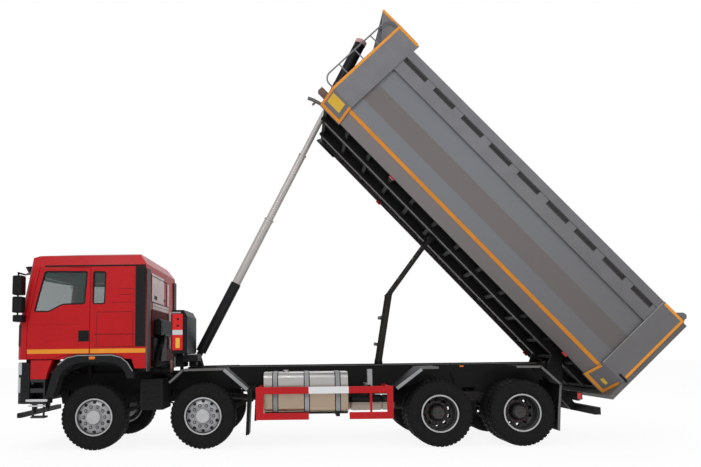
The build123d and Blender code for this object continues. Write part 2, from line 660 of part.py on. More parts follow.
def bent_plate(points, y_low, y_high):
    """A plate of constant thickness along a run of straight lines."""
    ribbon = None
    for a, b in zip(points, points[1:]):
        length = hypot(b[0] - a[0], b[1] - a[1])
        lean = degrees(atan2(a[1] - b[1], b[0] - a[0]))
        piece = Pos((a[0] + b[0]) / 2, (y_low + y_high) / 2, (a[1] + b[1]) / 2) * Rot(0, lean, 0) * Box(
            length + GUARD_PLATE * 0.4, y_high - y_low, GUARD_PLATE)
        ribbon = piece if ribbon is None else ribbon + piece
    return ribbon


def mudguards():
    """Bent-plate guards over the second, third and fourth axles, on tubes from the rails."""
    solids = []
    for inner, points in MUDGUARDS:
        guard = bent_plate(points, inner, MUDGUARD_OUT)
        for x, z in GUARD_ARMS:
            if points[0][0] < x < max(p[0] for p in points):
                guard += rod_y(x, z, 22, FRAME_HALF_WIDTH, MUDGUARD_OUT - 20)
        solids += guard.solids()
    return both_sides(Compound(solids))


UNDERRUN = ((8255, 0, 490), (8355, 1150, 610))


def rear_bumper():
    """Rear under-run bar on two arms, with the tail lamp boxes."""
    low, high = UNDERRUN
    half = box(low, high)
    half += prism_y([(FRAME_REAR - 260, RAIL_BOTTOM), (FRAME_REAR - 60, RAIL_BOTTOM), (low[0] + 20, high[2] - 10),
                     (low[0] + 20, low[2] + 10), (low[0] - 60, low[2] + 10)], 360, 420)
    half += box((FRAME_REAR - 60, 420 - 20, 720), (FRAME_REAR - 20, 1130, 800))
    half += box((FRAME_REAR - 60, 360, 720), (FRAME_REAR - 20, 420, RAIL_BOTTOM))
    half += box((FRAME_REAR - 70, 760, 740), (FRAME_REAR + 10, 1160, 860))
    return half + mirror(half, about=Plane.XZ)


# ---------------------------------------------------------------- front end on the frame
FRONT_TOW = (-1455, 830, 20, 60)       # X and Z of the bore's centre, its radius and its length
REAR_TOW = (7960, 1050, 25, 100)


def tow_block(place, root_x):
    """A block on the middle plane with a vertical bore for a towing pin."""
    x, z, r, length = place
    reach = 38 + r * 0.2
    ends = sorted((root_x, x + (reach if root_x < x else -reach)))
    block = box((ends[0], -55, z - length / 2), (ends[1], 55, z + length / 2))
    return block - rod_z(x, 0, r, z - length, z + length)


BUMPER_TOP_MIDDLE = 1065
BUMPER_TOP_SIDE = 1452
BUMPER_BOTTOM = 780
BUMPER_BACK = -1028
CLUSTER_IN = 560


def front_plan(front_middle, front_side, half_width, corner, rear, z, inset=0):
    """Plan face of the cab or bumper: bowed front, rounded corners and straight sides."""
    y = half_width - inset
    x_mid, x_side = front_middle + inset, front_side + inset
    y_side = y - corner
    edges = [
        ThreePointArc((x_side, -y_side, z), (x_mid, 0, z), (x_side, y_side, z)),
        ThreePointArc((x_side, y_side, z), (x_side + corner * 0.32, y - corner * 0.28, z),
                      (x_side + corner, y, z)),
        Line((x_side + corner, y, z), (rear - inset, y, z)),
        Line((rear - inset, y, z), (rear - inset, -y, z)),
        Line((rear - inset, -y, z), (x_side + corner, -y, z)),
        ThreePointArc((x_side + corner, -y, z), (x_side + corner * 0.32, -y + corner * 0.28, z),
                      (x_side, -y_side, z)),
    ]
    return make_face(Wire(edges))


def front_bumper():
    """Steel bumper with raised headlamp corners, open towards the frame."""
    outer = extrude(front_plan(CAB_FRONT - 10, -1270, CAB_HALF_WIDTH + 2, 170, BUMPER_BACK, BUMPER_BOTTOM),
                    amount=BUMPER_TOP_SIDE - BUMPER_BOTTOM, dir=(0, 0, 1))
    side = [(CAB_FRONT - 60, BUMPER_BOTTOM + 120), (CAB_FRONT + 60, BUMPER_BOTTOM - 1), (BUMPER_BACK + 1, BUMPER_BOTTOM - 1),
            (BUMPER_BACK + 1, BUMPER_TOP_SIDE + 1), (CAB_FRONT + 75, BUMPER_TOP_SIDE + 1),
            (CAB_FRONT - 60, BUMPER_TOP_SIDE - 180)]
    outer &= prism_y(side, -CAB_HALF_WIDTH - 20, CAB_HALF_WIDTH + 20)
    middle_cut = [(-CLUSTER_IN - 60, BUMPER_TOP_SIDE + 10), (-CLUSTER_IN, BUMPER_TOP_MIDDLE),
                  (CLUSTER_IN, BUMPER_TOP_MIDDLE), (CLUSTER_IN + 60, BUMPER_TOP_SIDE + 10)]
    outer -= prism_x(middle_cut, CAB_FRONT - 100, BUMPER_BACK + 10)
    inner = extrude(front_plan(CAB_FRONT - 10, -1270, CAB_HALF_WIDTH + 2, 170, BUMPER_BACK + 200,
                               BUMPER_BOTTOM + 60, inset=90),
                    amount=BUMPER_TOP_SIDE, dir=(0, 0, 1))
    low_front = box((CAB_FRONT, -700, BUMPER_BOTTOM - 10), (BUMPER_BACK + 20, 700, BUMPER_TOP_SIDE))
    cavity = inner & box((CAB_FRONT, -CAB_HALF_WIDTH, BUMPER_BOTTOM + 60),
                         (BUMPER_BACK + 20, CAB_HALF_WIDTH, BUMPER_TOP_SIDE - 60))
    shell = outer - cavity - (low_front & inner)
    for i in range(3):
        z = BUMPER_BOTTOM + 90 + i * 62
        shell -= box((CAB_FRONT - 80, -420, z), (CAB_FRONT + 120, 420, z + 34))
    for sign in (-1, 1):
        y = sign * (TILT_ARM[0] - 45)
        shell += box((CAB_FRONT + 60, y - 35, 985), (FRAME_FRONT, y + 35, 1040))
        shell += box((CAB_FRONT + 60, y - 35, 540), (CAB_FRONT + 130, y + 35, 1040))
    shell += box((CAB_FRONT + 50, -900, 520), (CAB_FRONT + 120, 900, 600))
    return shell + tow_block(FRONT_TOW, CAB_FRONT + 10)


ARCH_OUT = (                # arch flare's outer outline, X, Z
    (-765, 880), (-655, 1290), (-560, 1430), (-430, 1530), (-250, 1570), (320, 1570), (470, 1530),
    (580, 1440), (668, 1300), (690, 1180))
ARCH_IN = (
    (565, 1180), (545, 1260), (470, 1370), (370, 1425), (250, 1445), (-200, 1445), (-340, 1415),
    (-450, 1340), (-530, 1230), (-640, 880))


def wheel_arches():
    """Dark flares over the first axle, carried by arms from the frame."""
    flare = prism_y(list(ARCH_OUT) + list(ARCH_IN), 1010, 1247)
    flare = flare + box((-330, FRAME_HALF_WIDTH, 1395), (-270, 1020, 1445)) + box(
        (370, FRAME_HALF_WIDTH, 1375), (430, 1020, 1425))
    post_1 = box((-330, FRAME_HALF_WIDTH, RAIL_TOP - 80), (-270, FRAME_HALF_WIDTH + 40, 1400))
    post_2 = box((370, FRAME_HALF_WIDTH, RAIL_TOP - 80), (430, FRAME_HALF_WIDTH + 40, 1400))
    return both_sides(flare + post_1 + post_2)


def cab_steps():
    """Step box below the door, the painted panel over it and the hanging lower step."""
    panel = prism_y([(-1018, 1180), (-1018, 1488), (-668, 1488), (-700, 1400), (-742, 1290), (-768, 1180)],
                    1130, 1238)
    well = box((-1018, 880, 770), (-782, 1225, 1180))
    well -= box((-1100, 940, 850), (-800, 1300, 960))
    well -= box((-1100, 940, 1030), (-800, 1300, 1130))
    step = panel + well
    for x in (-1000, -822):
        step += box((x, 1150, 545), (x + 22, 1190, 780))
    step += box((-1010, 1050, 545), (-790, 1215, 575))
    step += box((-960, FRAME_HALF_WIDTH, 1000), (-880, 900, 1060))
    return both_sides(step)


# ---------------------------------------------------------------- cab
WINDSCREEN_LEAN = 0.19      # rearward per unit of height
CAB_CORNER_X = -1275
CAB_CORNER_R = 150
GLASS_DEPTH = 22
BELT = 2060
CAB_SIDE = (                # side outline of the cab, X, Z
    (CAB_FRONT - 40, CAB_SILL), (CAB_FRONT - 40, 2300), (-1330, 3000), (-1150, 3170), (-900, 3250),
    (-300, CAB_ROOF), (690, CAB_ROOF), (740, CAB_ROOF - 25), (868, 3080), (CAB_REAR, 1340),
    (690, 1340), (640, CAB_SILL))
CAB_FACE = (                # half of the front outline, Y, Z
    (0, 1300), (CAB_HALF_WIDTH, 1300), (CAB_HALF_WIDTH, 2250), (1216, 3050), (1135, 3235), (900, 3285),
    (0, CAB_ROOF + 20))


def inset_face(points, inset, place):
    """Outline points moved inward by an inset, made a face in the plane that place gives."""
    face = make_face(Polyline(*[place(a, b) for a, b in points], close=True))
    return face if inset == 0 else offset(face, amount=-inset, kind=Kind.INTERSECTION)


def cab_form(inset):
    """The cab's closed outer form, or the same form shrunk by an inset."""
    lower = cab_plan_block(inset, 1250, BELT)
    rise = CAB_ROOF + 60 - BELT
    lean = WINDSCREEN_LEAN * rise
    upper = extrude(front_plan(CAB_FRONT, CAB_CORNER_X, CAB_HALF_WIDTH, CAB_CORNER_R, CAB_REAR + 400, BELT, inset),
                    amount=hypot(rise, lean), dir=(lean, 0, rise))
    side_points = list(CAB_SIDE)
    side = inset_face(side_points, inset, lambda x, z: (x, 1300, z))
    face_points = list(CAB_FACE) + [(-y, z) for y, z in reversed(CAB_FACE[1:-1])]
    face = inset_face(face_points, inset, lambda y, z: (-1600, y, z))
    form = lower + upper
    form &= extrude(side, amount=2600, dir=(0, -1, 0))
    return form & extrude(face, amount=2800, dir=(1, 0, 0))


DOOR_OUTLINE = (
    (-1087, 1512), (-1087, 2060), (-905, 3018), (-62, 3018), (-62, 1584), (-330, 1584), (-470, 1570),
    (-640, 1512))
DOOR_WINDOW = (
    (-990, 2285), (-830, 2975), (-105, 2965), (-140, 2405), (-515, 2400), (-740, 2282))
REAR_WINDOW = ((-22, 2405), (-22, 2965), (205, 2955), (190, 2402))
WINDSCREEN = ((-1040, 2120), (-985, 2975), (985, 2975), (1040, 2120))
WINDOW_SEAT = 0.3
ROUND = 45


def softened(points, corner):
    """The outline with each corner replaced by four short chords."""
    soft = []
    for before, here, after in zip(points[-1:] + points[:-1], points, points[1:] + points[:1]):
        ends = []
        for other in (before, after):
            length = hypot(other[0] - here[0], other[1] - here[1])
            ends.append([h + (o - h) * corner / length for h, o in zip(here, other)])
        for t in (0, 0.25, 0.5, 0.75, 1):
            soft.append(tuple((1 - t) ** 2 * a + 2 * t * (1 - t) * h + t * t * b
                              for a, h, b in zip(ends[0], here, ends[1])))
    return soft


def rounded_prism(points, place, direction, depth, inset=0, corner=ROUND):
    """A prism on an outline with softened corners, with an optional inset."""
    face = make_face(Polyline(*[place(a, b) for a, b in softened(points, corner)], close=True))
    if inset:
        face = offset(face, amount=-inset, kind=Kind.INTERSECTION)
    return extrude(face, amount=depth, dir=direction)


def side_prism(points, side, inset=0, corner=ROUND):
    """A rounded prism through the side wall, for one side of the cab."""
    y = side * 1010
    return rounded_prism(points, lambda x, z: (x, y, z), (0, side, 0), 300, inset, corner)


def windscreen_prism(inset=0):
    """The windscreen's rounded outline, through the cab's front."""
    return rounded_prism(WINDSCREEN, lambda y, z: (-1500, y, z), (1, 0, 0), 650, inset, 70)


def door_prism(side, grow):
    """The door's outline through the side wall; grow opens it for the gap round the door."""
    points = list(DOOR_OUTLINE)
    face = make_face(Polyline(*[(x, side * 1100, z) for x, z in points], close=True))
    if grow:
        face = offset(face, amount=grow, kind=Kind.INTERSECTION)
    return extrude(face, amount=200, dir=(0, side, 0))


GRILLE_T = 14


def cab_plan_block(inset, z_low, z_high):
    """The cab's plan carried straight up between two heights."""
    face = front_plan(CAB_FRONT, CAB_CORNER_X, CAB_HALF_WIDTH, CAB_CORNER_R, CAB_REAR, z_low, inset)
    return extrude(face, amount=z_high - z_low, dir=(0, 0, 1))


CAB_OUTER = cab_form(0)
CAB_GLAZING = cab_form(GLASS_DEPTH) - cab_form(GLASS_DEPTH + GLASS_T)
CAB_INNER = cab_form(CAB_WALL)
CAB_LINER = CAB_INNER & box((-1600, -1300, CAB_FLOOR), (1000, 1300, 3400))


def cab_shell():
    """Hollow cab: floor, walls, pillars and roof, with door, window and windscreen openings."""
    shell = CAB_OUTER - CAB_LINER
    for side in SIDES.values():
        shell -= door_prism(side, PANEL_GAP) & box((-1400, -1300, 1400), (-62 + DOOR_REAR_GAP, 1300, 3100))
        shell -= side_prism(REAR_WINDOW, side)
        shell -= offset_prism_arch(side)
    shell -= windscreen_prism()
    shell -= engine_tunnel()
    inner, outer = TILT_ARM
    x, z = TILT_PIVOT
    for sign in (-1, 1):
        arm = prism_y([(x - 45, z - 30), (x - 45, z + 30), (x - 20, CAB_SILL + 5), (x + 170, CAB_SILL + 5),
                       (x + 45, z + 30), (x + 45, z - 30)], inner, outer)
        arm = arm + rod_y(x, z, 50, inner, outer) - rod_y(x, z, TILT_PIN_R + RUNNING_GAP, inner - 5, outer + 5)
        shell += arm if sign > 0 else mirror(arm, about=Plane.XZ)
    return shell


def offset_prism_arch(side):
    """Room for the flare under the cab's side, with the gap that lets the cab tilt off it."""
    points = [(-765, 700)] + list(ARCH_OUT) + [(690, 700)]
    face = make_face(Polyline(*[(x, side * 960, z) for x, z in points], close=True))
    face = offset(face, amount=14, kind=Kind.INTERSECTION)
    return extrude(face, amount=340, dir=(0, side, 0))


def engine_tunnel():
    """Recess under the floor over the engine."""
    return box((-700, -360, CAB_SILL - 20), (560, 360, CAB_SILL + 30))


def cab_glass():
    """Windscreen and the two small rear side windows."""
    panes = (CAB_GLAZING & windscreen_prism(WINDOW_SEAT)).solids()
    for side in SIDES.values():
        panes += (CAB_GLAZING & side_prism(REAR_WINDOW, side, WINDOW_SEAT)).solids()
    return Compound(panes)


def door(side):
    """One door: the side wall inside its gap, with the window cut out and an inner pocket."""
    leaf = (CAB_OUTER - CAB_INNER) & door_prism(side, 0)
    return leaf - side_prism(DOOR_WINDOW, side)


def door_glass(side):
    """The door's pane."""
    return CAB_GLAZING & side_prism(DOOR_WINDOW, side, WINDOW_SEAT)


def grille_panel():
    """Front panel below the windscreen, with slots, reaching down between the headlamps."""
    outline = [(-900, 2030), (-940, 1560), (-900, 1515), (-520, 1515), (-480, 1230), (480, 1230), (520, 1515),
               (900, 1515), (940, 1560), (900, 2030)]
    skin = cab_plan_block(-GRILLE_T, 1200, 2100) - cab_plan_block(0, 1100, 2200)
    panel = skin & prism_x(outline, -1600, -1100)
    for i in range(5):
        z = 1600 + i * 78
        panel -= box((-1600, -700, z), (-1200, 700, z + 36))
    apron = cab_plan_block(0, 1230, CAB_SILL) - cab_plan_block(40, 1200, 1600)
    return panel + (apron & box((-1600, -480, 1200), (-1200, 480, 1600)))


MIRROR_ARM_R = 14


def mirrors():
    """Upper and lower mirror housings on a bent arm at each windscreen pillar."""
    head = fillet(box((-1270, 1262, 2560), (-1112, 1440, 2880)).edges(), radius=24)
    head += fillet(box((-1275, 1262, 2270), (-1112, 1420, 2535)).edges(), radius=24)
    head += fillet(box((-1270, 1180, 2120), (-1112, 1400, 2235)).edges(), radius=20)
    head += rod_z(-1215, 1330, MIRROR_ARM_R, 2200, 2935)
    head += rod_y(-1215, 2930, MIRROR_ARM_R, 1060, 1342)
    return both_sides(head - CAB_OUTER)


def cab_trim():
    """Sun visor over the windscreen and the air deflector strips at the cab's rear corners."""
    visor = loft_visor()
    strip = prism_y([(700, 1700), (700, 3030), (864, 3030), (864, 1700)], CAB_HALF_WIDTH - 20, CAB_HALF_WIDTH + 12)
    strip -= CAB_OUTER
    strips = both_sides(strip)
    return Compound(visor.solids() + strips.solids())


def loft_visor():
    """Sun visor: a thin bowed blade in front of the windscreen's head."""
    blade = extrude(front_plan(CAB_FRONT + 40, -1190, 1120, 150, -900, 2960), amount=120, dir=(-0.55, 0, 1))
    blade -= extrude(front_plan(CAB_FRONT + 62, -1168, 1098, 150, -700, 2950), amount=160, dir=(-0.55, 0, 1))
    blade &= box((-1700, -1120, 2900), (-1010, 1120, 3100))
    for y in (-620, 0, 620):
        blade += box((CAB_FRONT + 30, y - 15, 2985), (CAB_FRONT + 330, y + 15, 3015))
    return blade - CAB_OUTER


SEAT_Y = 560


def cab_interior():
    """Dashboard, steering wheel, two seats and the bunk behind them."""
    dash = prism_y([(-1240, CAB_FLOOR), (-1150, 2090), (-960, 2110), (-900, 2010), (-960, 1900), (-1000, CAB_FLOOR)],
                   -1080, 1080) & cab_form(CAB_WALL + 4)
    wheel = Pos(-760, -SEAT_Y, 2100) * Rot(0, -30, 0) * Torus(210, 16)
    wheel += Pos(-760, -SEAT_Y, 2100) * Rot(0, -30, 0) * (Box(420, 24, 16) + Cylinder(40, 24))
    column = Pos(-850, -SEAT_Y, 1999) * Rot(0, -42, 0) * Cylinder(26, 330)
    front = dash + column + wheel
    solids = front.solids()
    for sign in (-1, 1):
        y = sign * SEAT_Y
        seat = fillet(box((-470, y - 250, 1900), (60, y + 250, 2060)).edges(), radius=45)
        seat += Pos(70, y, 2370) * Rot(0, 10, 0) * fillet(Box(130, 470, 720).edges(), radius=45)
        seat += box((-360, y - 160, CAB_FLOOR), (-20, y + 160, 1910))
        solids += seat.solids()
    solids += fillet(box((300, -1080, CAB_FLOOR), (800, 1080, 2050)).edges(), radius=40).solids()
    return Compound(solids)


# ---------------------------------------------------------------- bed
SIDE_FOOT = ((1050, 0), (1120, 58))   # Y and height over the floor of the corner between floor and side
SIDE_FACETS = (500, 870)              # heights of the side wall's two folds


def bed_outline():
    """Right-hand half of the body's folded section, as (Y, Z), without its top."""
    return [(SIDE_FOOT[0][0], BED_FLOOR), (SIDE_FOOT[1][0], BED_FLOOR + SIDE_FOOT[1][1]), BED_CREASE,
            (BED_SIDE_Y, SIDE_FACETS[0]), (BED_SIDE_Y, SIDE_FACETS[1]), (BED_UPPER_Y, BED_RAIL_LOW)]


def bed_section(x, inset):
    """Folded U section of the bed's body at one x, as a face; inset shrinks it."""
    right = bed_outline() + [(BED_UPPER_Y, FRONT_POST_TOP)]
    if inset:
        right = [(y - inset * 0.6, z + inset) if z <= BED_FLOOR else (y - inset, z) for y, z in right[:-1]]
        right += [(BED_UPPER_Y - inset, FRONT_POST_TOP + 40)]
    points = right + [(-y, z) for y, z in reversed(right)]
    return make_face(Polyline(*[(x, y, z) for y, z in points], close=True))


RAIL_BAND_Y = 1236          # outer face of the rail's lower band
RAIL_POCKET_LOW = 1450
# front and rear end of each pocket in the rails
RAIL_POCKETS = ((-5570, -5041), (-4847, -4376), (-4170, -3690), (-3500, -3010), (-2830, -2340), (-2137, -1658),
                (-1483, -1018), (-822, -345), (-162, 279))


def side_rail():
    """Right-hand top rail: a band and a thicker upper part, with sloped pockets between them."""
    x_low, x_high = BED_FRONT + FRONT_POST_L - 5, BED_REAR - REAR_POST_L + 5
    y_in, y_out = BED_UPPER_Y - BED_WALL, BED_HALF_WIDTH - 2
    rail = prism_x([(y_in, BED_RAIL_LOW), (RAIL_BAND_Y, BED_RAIL_LOW), (RAIL_BAND_Y, BED_RAIL_STEP),
                    (y_out, BED_RAIL_STEP), (y_out, BED_TOP), (y_in, BED_TOP)], x_low, x_high)
    for a, b in RAIL_POCKETS:
        rail -= prism_x([(RAIL_BAND_Y + 0.5, RAIL_POCKET_LOW), (BED_UPPER_Y + 1, BED_RAIL_STEP),
                         (RAIL_BAND_Y + 0.5, BED_RAIL_STEP)], a, b)
    return rail


SILL_FOOT = (940, 0)         # Y and Z of the sill's lower edge
SILL_T = 10


def side_sill():
    """Right-hand sill between the posts: a plate folded in under the side's crease."""
    y, z = BED_CREASE
    foot_y, foot_z = SILL_FOOT
    lean = (y - foot_y) / (z - foot_z)
    return prism_x([(y, z), (foot_y, foot_z), (foot_y - SILL_T - 22, foot_z),
                    (foot_y - SILL_T - 22, foot_z + SILL_T),
                    (foot_y - SILL_T + lean * SILL_T, foot_z + SILL_T), (y - SILL_T - 12, z)],
                   BED_FRONT + FRONT_POST_L - 5, BED_REAR - REAR_POST_L + 5)


POST_FOOT_OUT = 26          # by how much a post's foot stands out of the sill


def post_foot(x_low, x_high):
    """Right-hand foot of a post, folded in under the side like the sill but thicker."""
    y, z = BED_CREASE
    foot_y, foot_z = SILL_FOOT
    slope = (z - foot_z) / (y - foot_y)
    low = foot_z - POST_FOOT_OUT
    return prism_x([(BED_HALF_WIDTH, z + 60), (BED_HALF_WIDTH, low + slope * (BED_HALF_WIDTH - foot_y)),
                    (foot_y, low), (foot_y - 34, low), (foot_y - 34, low + POST_FOOT_OUT),
                    (BED_UPPER_Y - BED_WALL, z - 30), (BED_UPPER_Y - BED_WALL, z + 60)], x_low, x_high)


def bed_post(x_low, x_high, top):
    """Right-hand corner post with its folded foot."""
    low = BED_CREASE[1] + 50
    post = prism_y([(x_low, low), (x_high, low), (x_high, top - 42), (x_high - 30, top - 10), (x_low, top)],
                   BED_UPPER_Y - BED_WALL, BED_HALF_WIDTH)
    return post + post_foot(x_low, x_high)


def bed_body():
    """Open-topped body: folded floor and sides, front wall, posts, sills and pocketed top rails."""
    front, rear = BED_FRONT + 45, BED_REAR
    shell = extrude(bed_section(front, 0), amount=rear - front, dir=(1, 0, 0))
    shell -= extrude(bed_section(front + 45, BED_WALL), amount=rear - front, dir=(1, 0, 0))
    shell -= box((BED_FRONT + FRONT_POST_L, -1300, BED_TOP), (rear + 50, 1300, FRONT_POST_TOP + 100))
    half = bed_post(BED_FRONT, BED_FRONT + FRONT_POST_L, FRONT_POST_TOP)
    half += box((BED_REAR - REAR_POST_L, BED_UPPER_Y - BED_WALL, BED_CREASE[1] + 50),
                (BED_REAR, BED_HALF_WIDTH, REAR_POST_TOP))
    half += post_foot(BED_REAR - REAR_POST_L, BED_REAR)
    half += side_rail() + side_sill() + gate_ear() + hoist_bracket()
    return shell + half + mirror(half, about=Plane.XZ) + visor_plates()


GATE_EAR_R = 42
GATE_PIN_R = 18


def gate_ear():
    """Ear on top of the rear post with the tailgate's hinge pin."""
    x, z = GATE_PIVOT
    y_low, y_high = BED_UPPER_Y - BED_WALL, BED_UPPER_Y + 5
    ear = prism_y([(x - 190, REAR_POST_TOP - 20), (x - 60, z + 30), (x, z + GATE_EAR_R), (x + GATE_EAR_R, z),
                   (BED_REAR, REAR_POST_TOP - 20)], y_low, y_high)
    return ear + rod_y(x, z, GATE_PIN_R, y_low - 40, y_high)


def hoist_bracket():
    """Ear on the front wall beside the hoist's cover."""
    x, z = HOIST_TOP
    wall = BED_FRONT + 50
    low = COVER_R + 30
    return prism_y([(wall, z - 230), (x, z - 60), (x - 60, z), (x, z + 60), (wall, z + 230)], low, low + 28)


VISOR = ((-6546, 1975), (-6075, 1990), (-6075, 1420))


def visor_plates():
    """Canopy over the bed's front: a top plate on gussets, open in the middle under the plate."""
    front, top, foot = VISOR
    wall = BED_FRONT + 46
    plate = prism_y([(front[0], front[1]), (front[0] - 4, front[1] + 22), (wall + 12, top[1] + 14), (wall + 12, top[1])],
                    -960, 960)
    plate += box((wall, -960, 1700), (wall + 14, 960, top[1] + 5))
    for y in (-960, -330, 318, 948):
        plate += prism_y([front, (wall + 5, top[1]), (wall + 5, foot[1])], y, y + 12)
    return plate


CROSS_BEARERS = 12
BEARER_TAPER_Y = 700


def bed_underframe():
    """Two long beams under the floor, tied by cross bearers, with the hinge lugs at the rear."""
    front = BED_FRONT + 60
    y_low, y_high = BED_BEAM_Y - BED_BEAM_W / 2, BED_BEAM_Y + BED_BEAM_W / 2
    half = box((front, y_low, BED_BEAM_LOW), (140, y_high, BED_FLOOR - SEAT_GAP))
    pitch = (BED_REAR - 120 - front) / CROSS_BEARERS
    for i in range(CROSS_BEARERS + 1):
        x = front + 40 + i * pitch
        bearer = prism_x([(0, BED_FLOOR - 90), (BEARER_TAPER_Y, BED_FLOOR - 90), (SIDE_FOOT[0][0] - 60, BED_FLOOR - 40),
                          (SIDE_FOOT[0][0] - 60, BED_FLOOR - SEAT_GAP), (0, BED_FLOOR - SEAT_GAP)], x - 35, x + 35)
        half += bearer
    half += rod_y(0, 0, 72, y_low, y_high)
    half += box((120, 300, BED_FLOOR - 110), (BED_REAR - 110, 420, BED_FLOOR - SEAT_GAP))
    half -= rod_y(0, 0, HINGE_SHAFT_R + RUNNING_GAP, y_low - 10, y_high + 10)
    x, z = STAB_HEAD
    y_ear = STAB_Y - 2 * LINK_T - 6
    half += box((x - 35, 0, BED_FLOOR - 90), (x + 35, y_low + 5, BED_FLOOR - SEAT_GAP))
    half += prism_y([(x - 110, BED_FLOOR - 60), (x - 35, z - 30), (x + 35, z - 30), (x + 110, BED_FLOOR - 60)],
                    y_ear - LINK_T, y_ear)
    half += rod_y(x, z, STAB_PIN_R, y_ear - 5, STAB_Y - 3)
    return half + mirror(half, about=Plane.XZ)


RAIL_TUBE_R = 14
GUARD_OUT = 285


def bed_front_rail():
    """Bent tube rails that stand off the bed's front corners."""
    y = 1020
    foot = BED_FRONT + 45
    out = BED_FRONT - GUARD_OUT
    path = FilletPolyline((foot, y, 330), (out, y, 330), (out, y, 1930), (foot, y, 1930), radius=150)
    rail = sweep(Plane(origin=path @ 0, z_dir=path % 0) * Circle(RAIL_TUBE_R), path=path)
    for z in (700, 1080, 1460):
        rail += rod_x(y, z, RAIL_TUBE_R - 3, out, foot)
    return both_sides(rail)


GATE_PANELS = ((40, 480), (560, 1030), (1110, 1560))      # lower and upper edge of each row


def tailgate():
    """Rear gate behind the posts, with rows of pressed panels, hung from its top corners."""
    face = BED_REAR + SEAT_GAP
    outer = face + GATE_T
    low, top = GATE_HEIGHTS
    gate = box((face, -GATE_HALF_WIDTH, low), (outer, GATE_HALF_WIDTH, top))
    width = 2 * (GATE_HALF_WIDTH - 60) / 4
    for i in range(4):
        y = -GATE_HALF_WIDTH + 60 + i * width
        for z_low, z_high in GATE_PANELS:
            gate -= box((outer - 40, y + 35, z_low), (outer + 5, y + width - 35, z_high))
    x, z = GATE_PIVOT
    y_out = BED_UPPER_Y - BED_WALL - 6
    for sign in (-1, 1):
        arm = prism_y([(face + 4, top - 200), (x - 32, z - 8), (x - 22, z + 24), (x, z + 34), (x + 26, z + 24),
                       (outer - 12, top - 10), (outer - 12, top - 200)], y_out - 50, y_out)
        arm -= rod_y(x, z, GATE_PIN_R + RUNNING_GAP, y_out - 60, y_out + 10)
        gate += arm if sign > 0 else mirror(arm, about=Plane.XZ)
    return gate


# ---------------------------------------------------------------- hoist and stabiliser
def hoist_rest():
    """Lean from upright and the pin-to-trunnion length, bed raised."""
    top = bed_point(HOIST_TOP)
    dx, dz = top[0] - HOIST_BASE[0], top[1] - HOIST_BASE[1]
    return degrees(atan2(dx, dz)), hypot(dx, dz)


HOIST_LEAN, HOIST_LENGTH = hoist_rest()


def on_hoist(shape):
    """Bring a shape built upright over the hoist's foot to its leaning place."""
    return Pos(HOIST_BASE[0], 0, HOIST_BASE[1]) * Rot(0, HOIST_LEAN, 0) * shape


def hoist_base():
    """Outer barrel with its foot eye and lifting lugs."""
    low, floor = 112, 136
    tube = Pos(0, 0, (low + HOIST_BASE_L) / 2) * Cylinder(STAGE_R[0], HOIST_BASE_L - low)
    foot = Pos(0, 0, (low + 5) / 2) * Cylinder(54, low + 5) + rod_y(0, 0, 52, -60, 60)
    tube = tube + foot
    tube -= Pos(0, 0, (floor + HOIST_BASE_L + 10) / 2) * Cylinder(STAGE_R[1] + RUNNING_GAP, HOIST_BASE_L + 10 - floor)
    return on_hoist(tube - rod_y(0, 0, HOIST_PIN_R + RUNNING_GAP, -70, 70))


def hoist_stage(index):
    """A telescoping tube with its head, at the raised extension."""
    reach = sum(HOIST_SLIDES[:index])
    low = 145 + 12 * (index - 1) + reach
    high = HOIST_BASE_L + STAGE_HEAD * index + reach
    tube = Pos(0, 0, (low + high) / 2) * Cylinder(STAGE_R[index], high - low)
    head = Pos(0, 0, high - STAGE_HEAD / 2) * Cylinder(STAGE_R[index] + 10, STAGE_HEAD - 2)
    bore = STAGE_R[index + 1] + RUNNING_GAP
    tube = tube + head - Pos(0, 0, (low + high) / 2 + 10) * Cylinder(bore, high - low)
    return on_hoist(tube)


def hoist_cover():
    """Outer cover with its cap, the last rod inside it and a trunnion pin on each side."""
    low, high = HOIST_LENGTH - COVER_BELOW, HOIST_LENGTH + COVER_ABOVE
    cover = Pos(0, 0, (low + high) / 2) * Cylinder(COVER_R, high - low)
    cover -= Pos(0, 0, (low + high) / 2 - 25) * Cylinder(COVER_BORE, high - low - 30)
    rod_low = 190 + sum(HOIST_SLIDES)
    cover += Pos(0, 0, (rod_low + high) / 2) * Cylinder(STAGE_R[4], high - rod_low - 5)
    pins = rod_y(0, HOIST_LENGTH, 30, COVER_R - 4, COVER_R + 24)
    cover += Pos(0, 0, HOIST_LENGTH) * Cylinder(COVER_R + 5, 120) - Pos(0, 0, HOIST_LENGTH) * Cylinder(
        COVER_BORE, 130)
    return on_hoist(cover + pins + mirror(pins, about=Plane.XZ))


def knee_point():
    """Knee of the stabiliser, forward of the line between its two pivots."""
    top = bed_point(STAB_HEAD)
    dx, dz = top[0] - STAB_FOOT[0], top[1] - STAB_FOOT[1]
    span = hypot(dx, dz)
    line = atan2(dx, dz)
    at_foot = acos((span ** 2 + STAB_LOWER_L ** 2 - STAB_UPPER_L ** 2) / (2 * span * STAB_LOWER_L))
    lower = line - at_foot
    knee = (STAB_FOOT[0] + STAB_LOWER_L * sin(lower), STAB_FOOT[1] + STAB_LOWER_L * cos(lower))
    upper = atan2(top[0] - knee[0], top[1] - knee[1])
    return degrees(lower), degrees(upper)


STAB_LOWER_LEAN, STAB_UPPER_LEAN = knee_point()
LINK_T = 22


def link_arm(length, y_low, bores):
    """A flat link along +Z with round ends, bored at the listed heights."""
    arm = box((-32, y_low, 0), (32, y_low + LINK_T, length))
    for z in (0, length):
        arm += rod_y(0, z, 38, y_low, y_low + LINK_T)
    for z in bores:
        arm -= rod_y(0, z, STAB_PIN_R + RUNNING_GAP, y_low - 5, y_low + LINK_T + 5)
    return arm


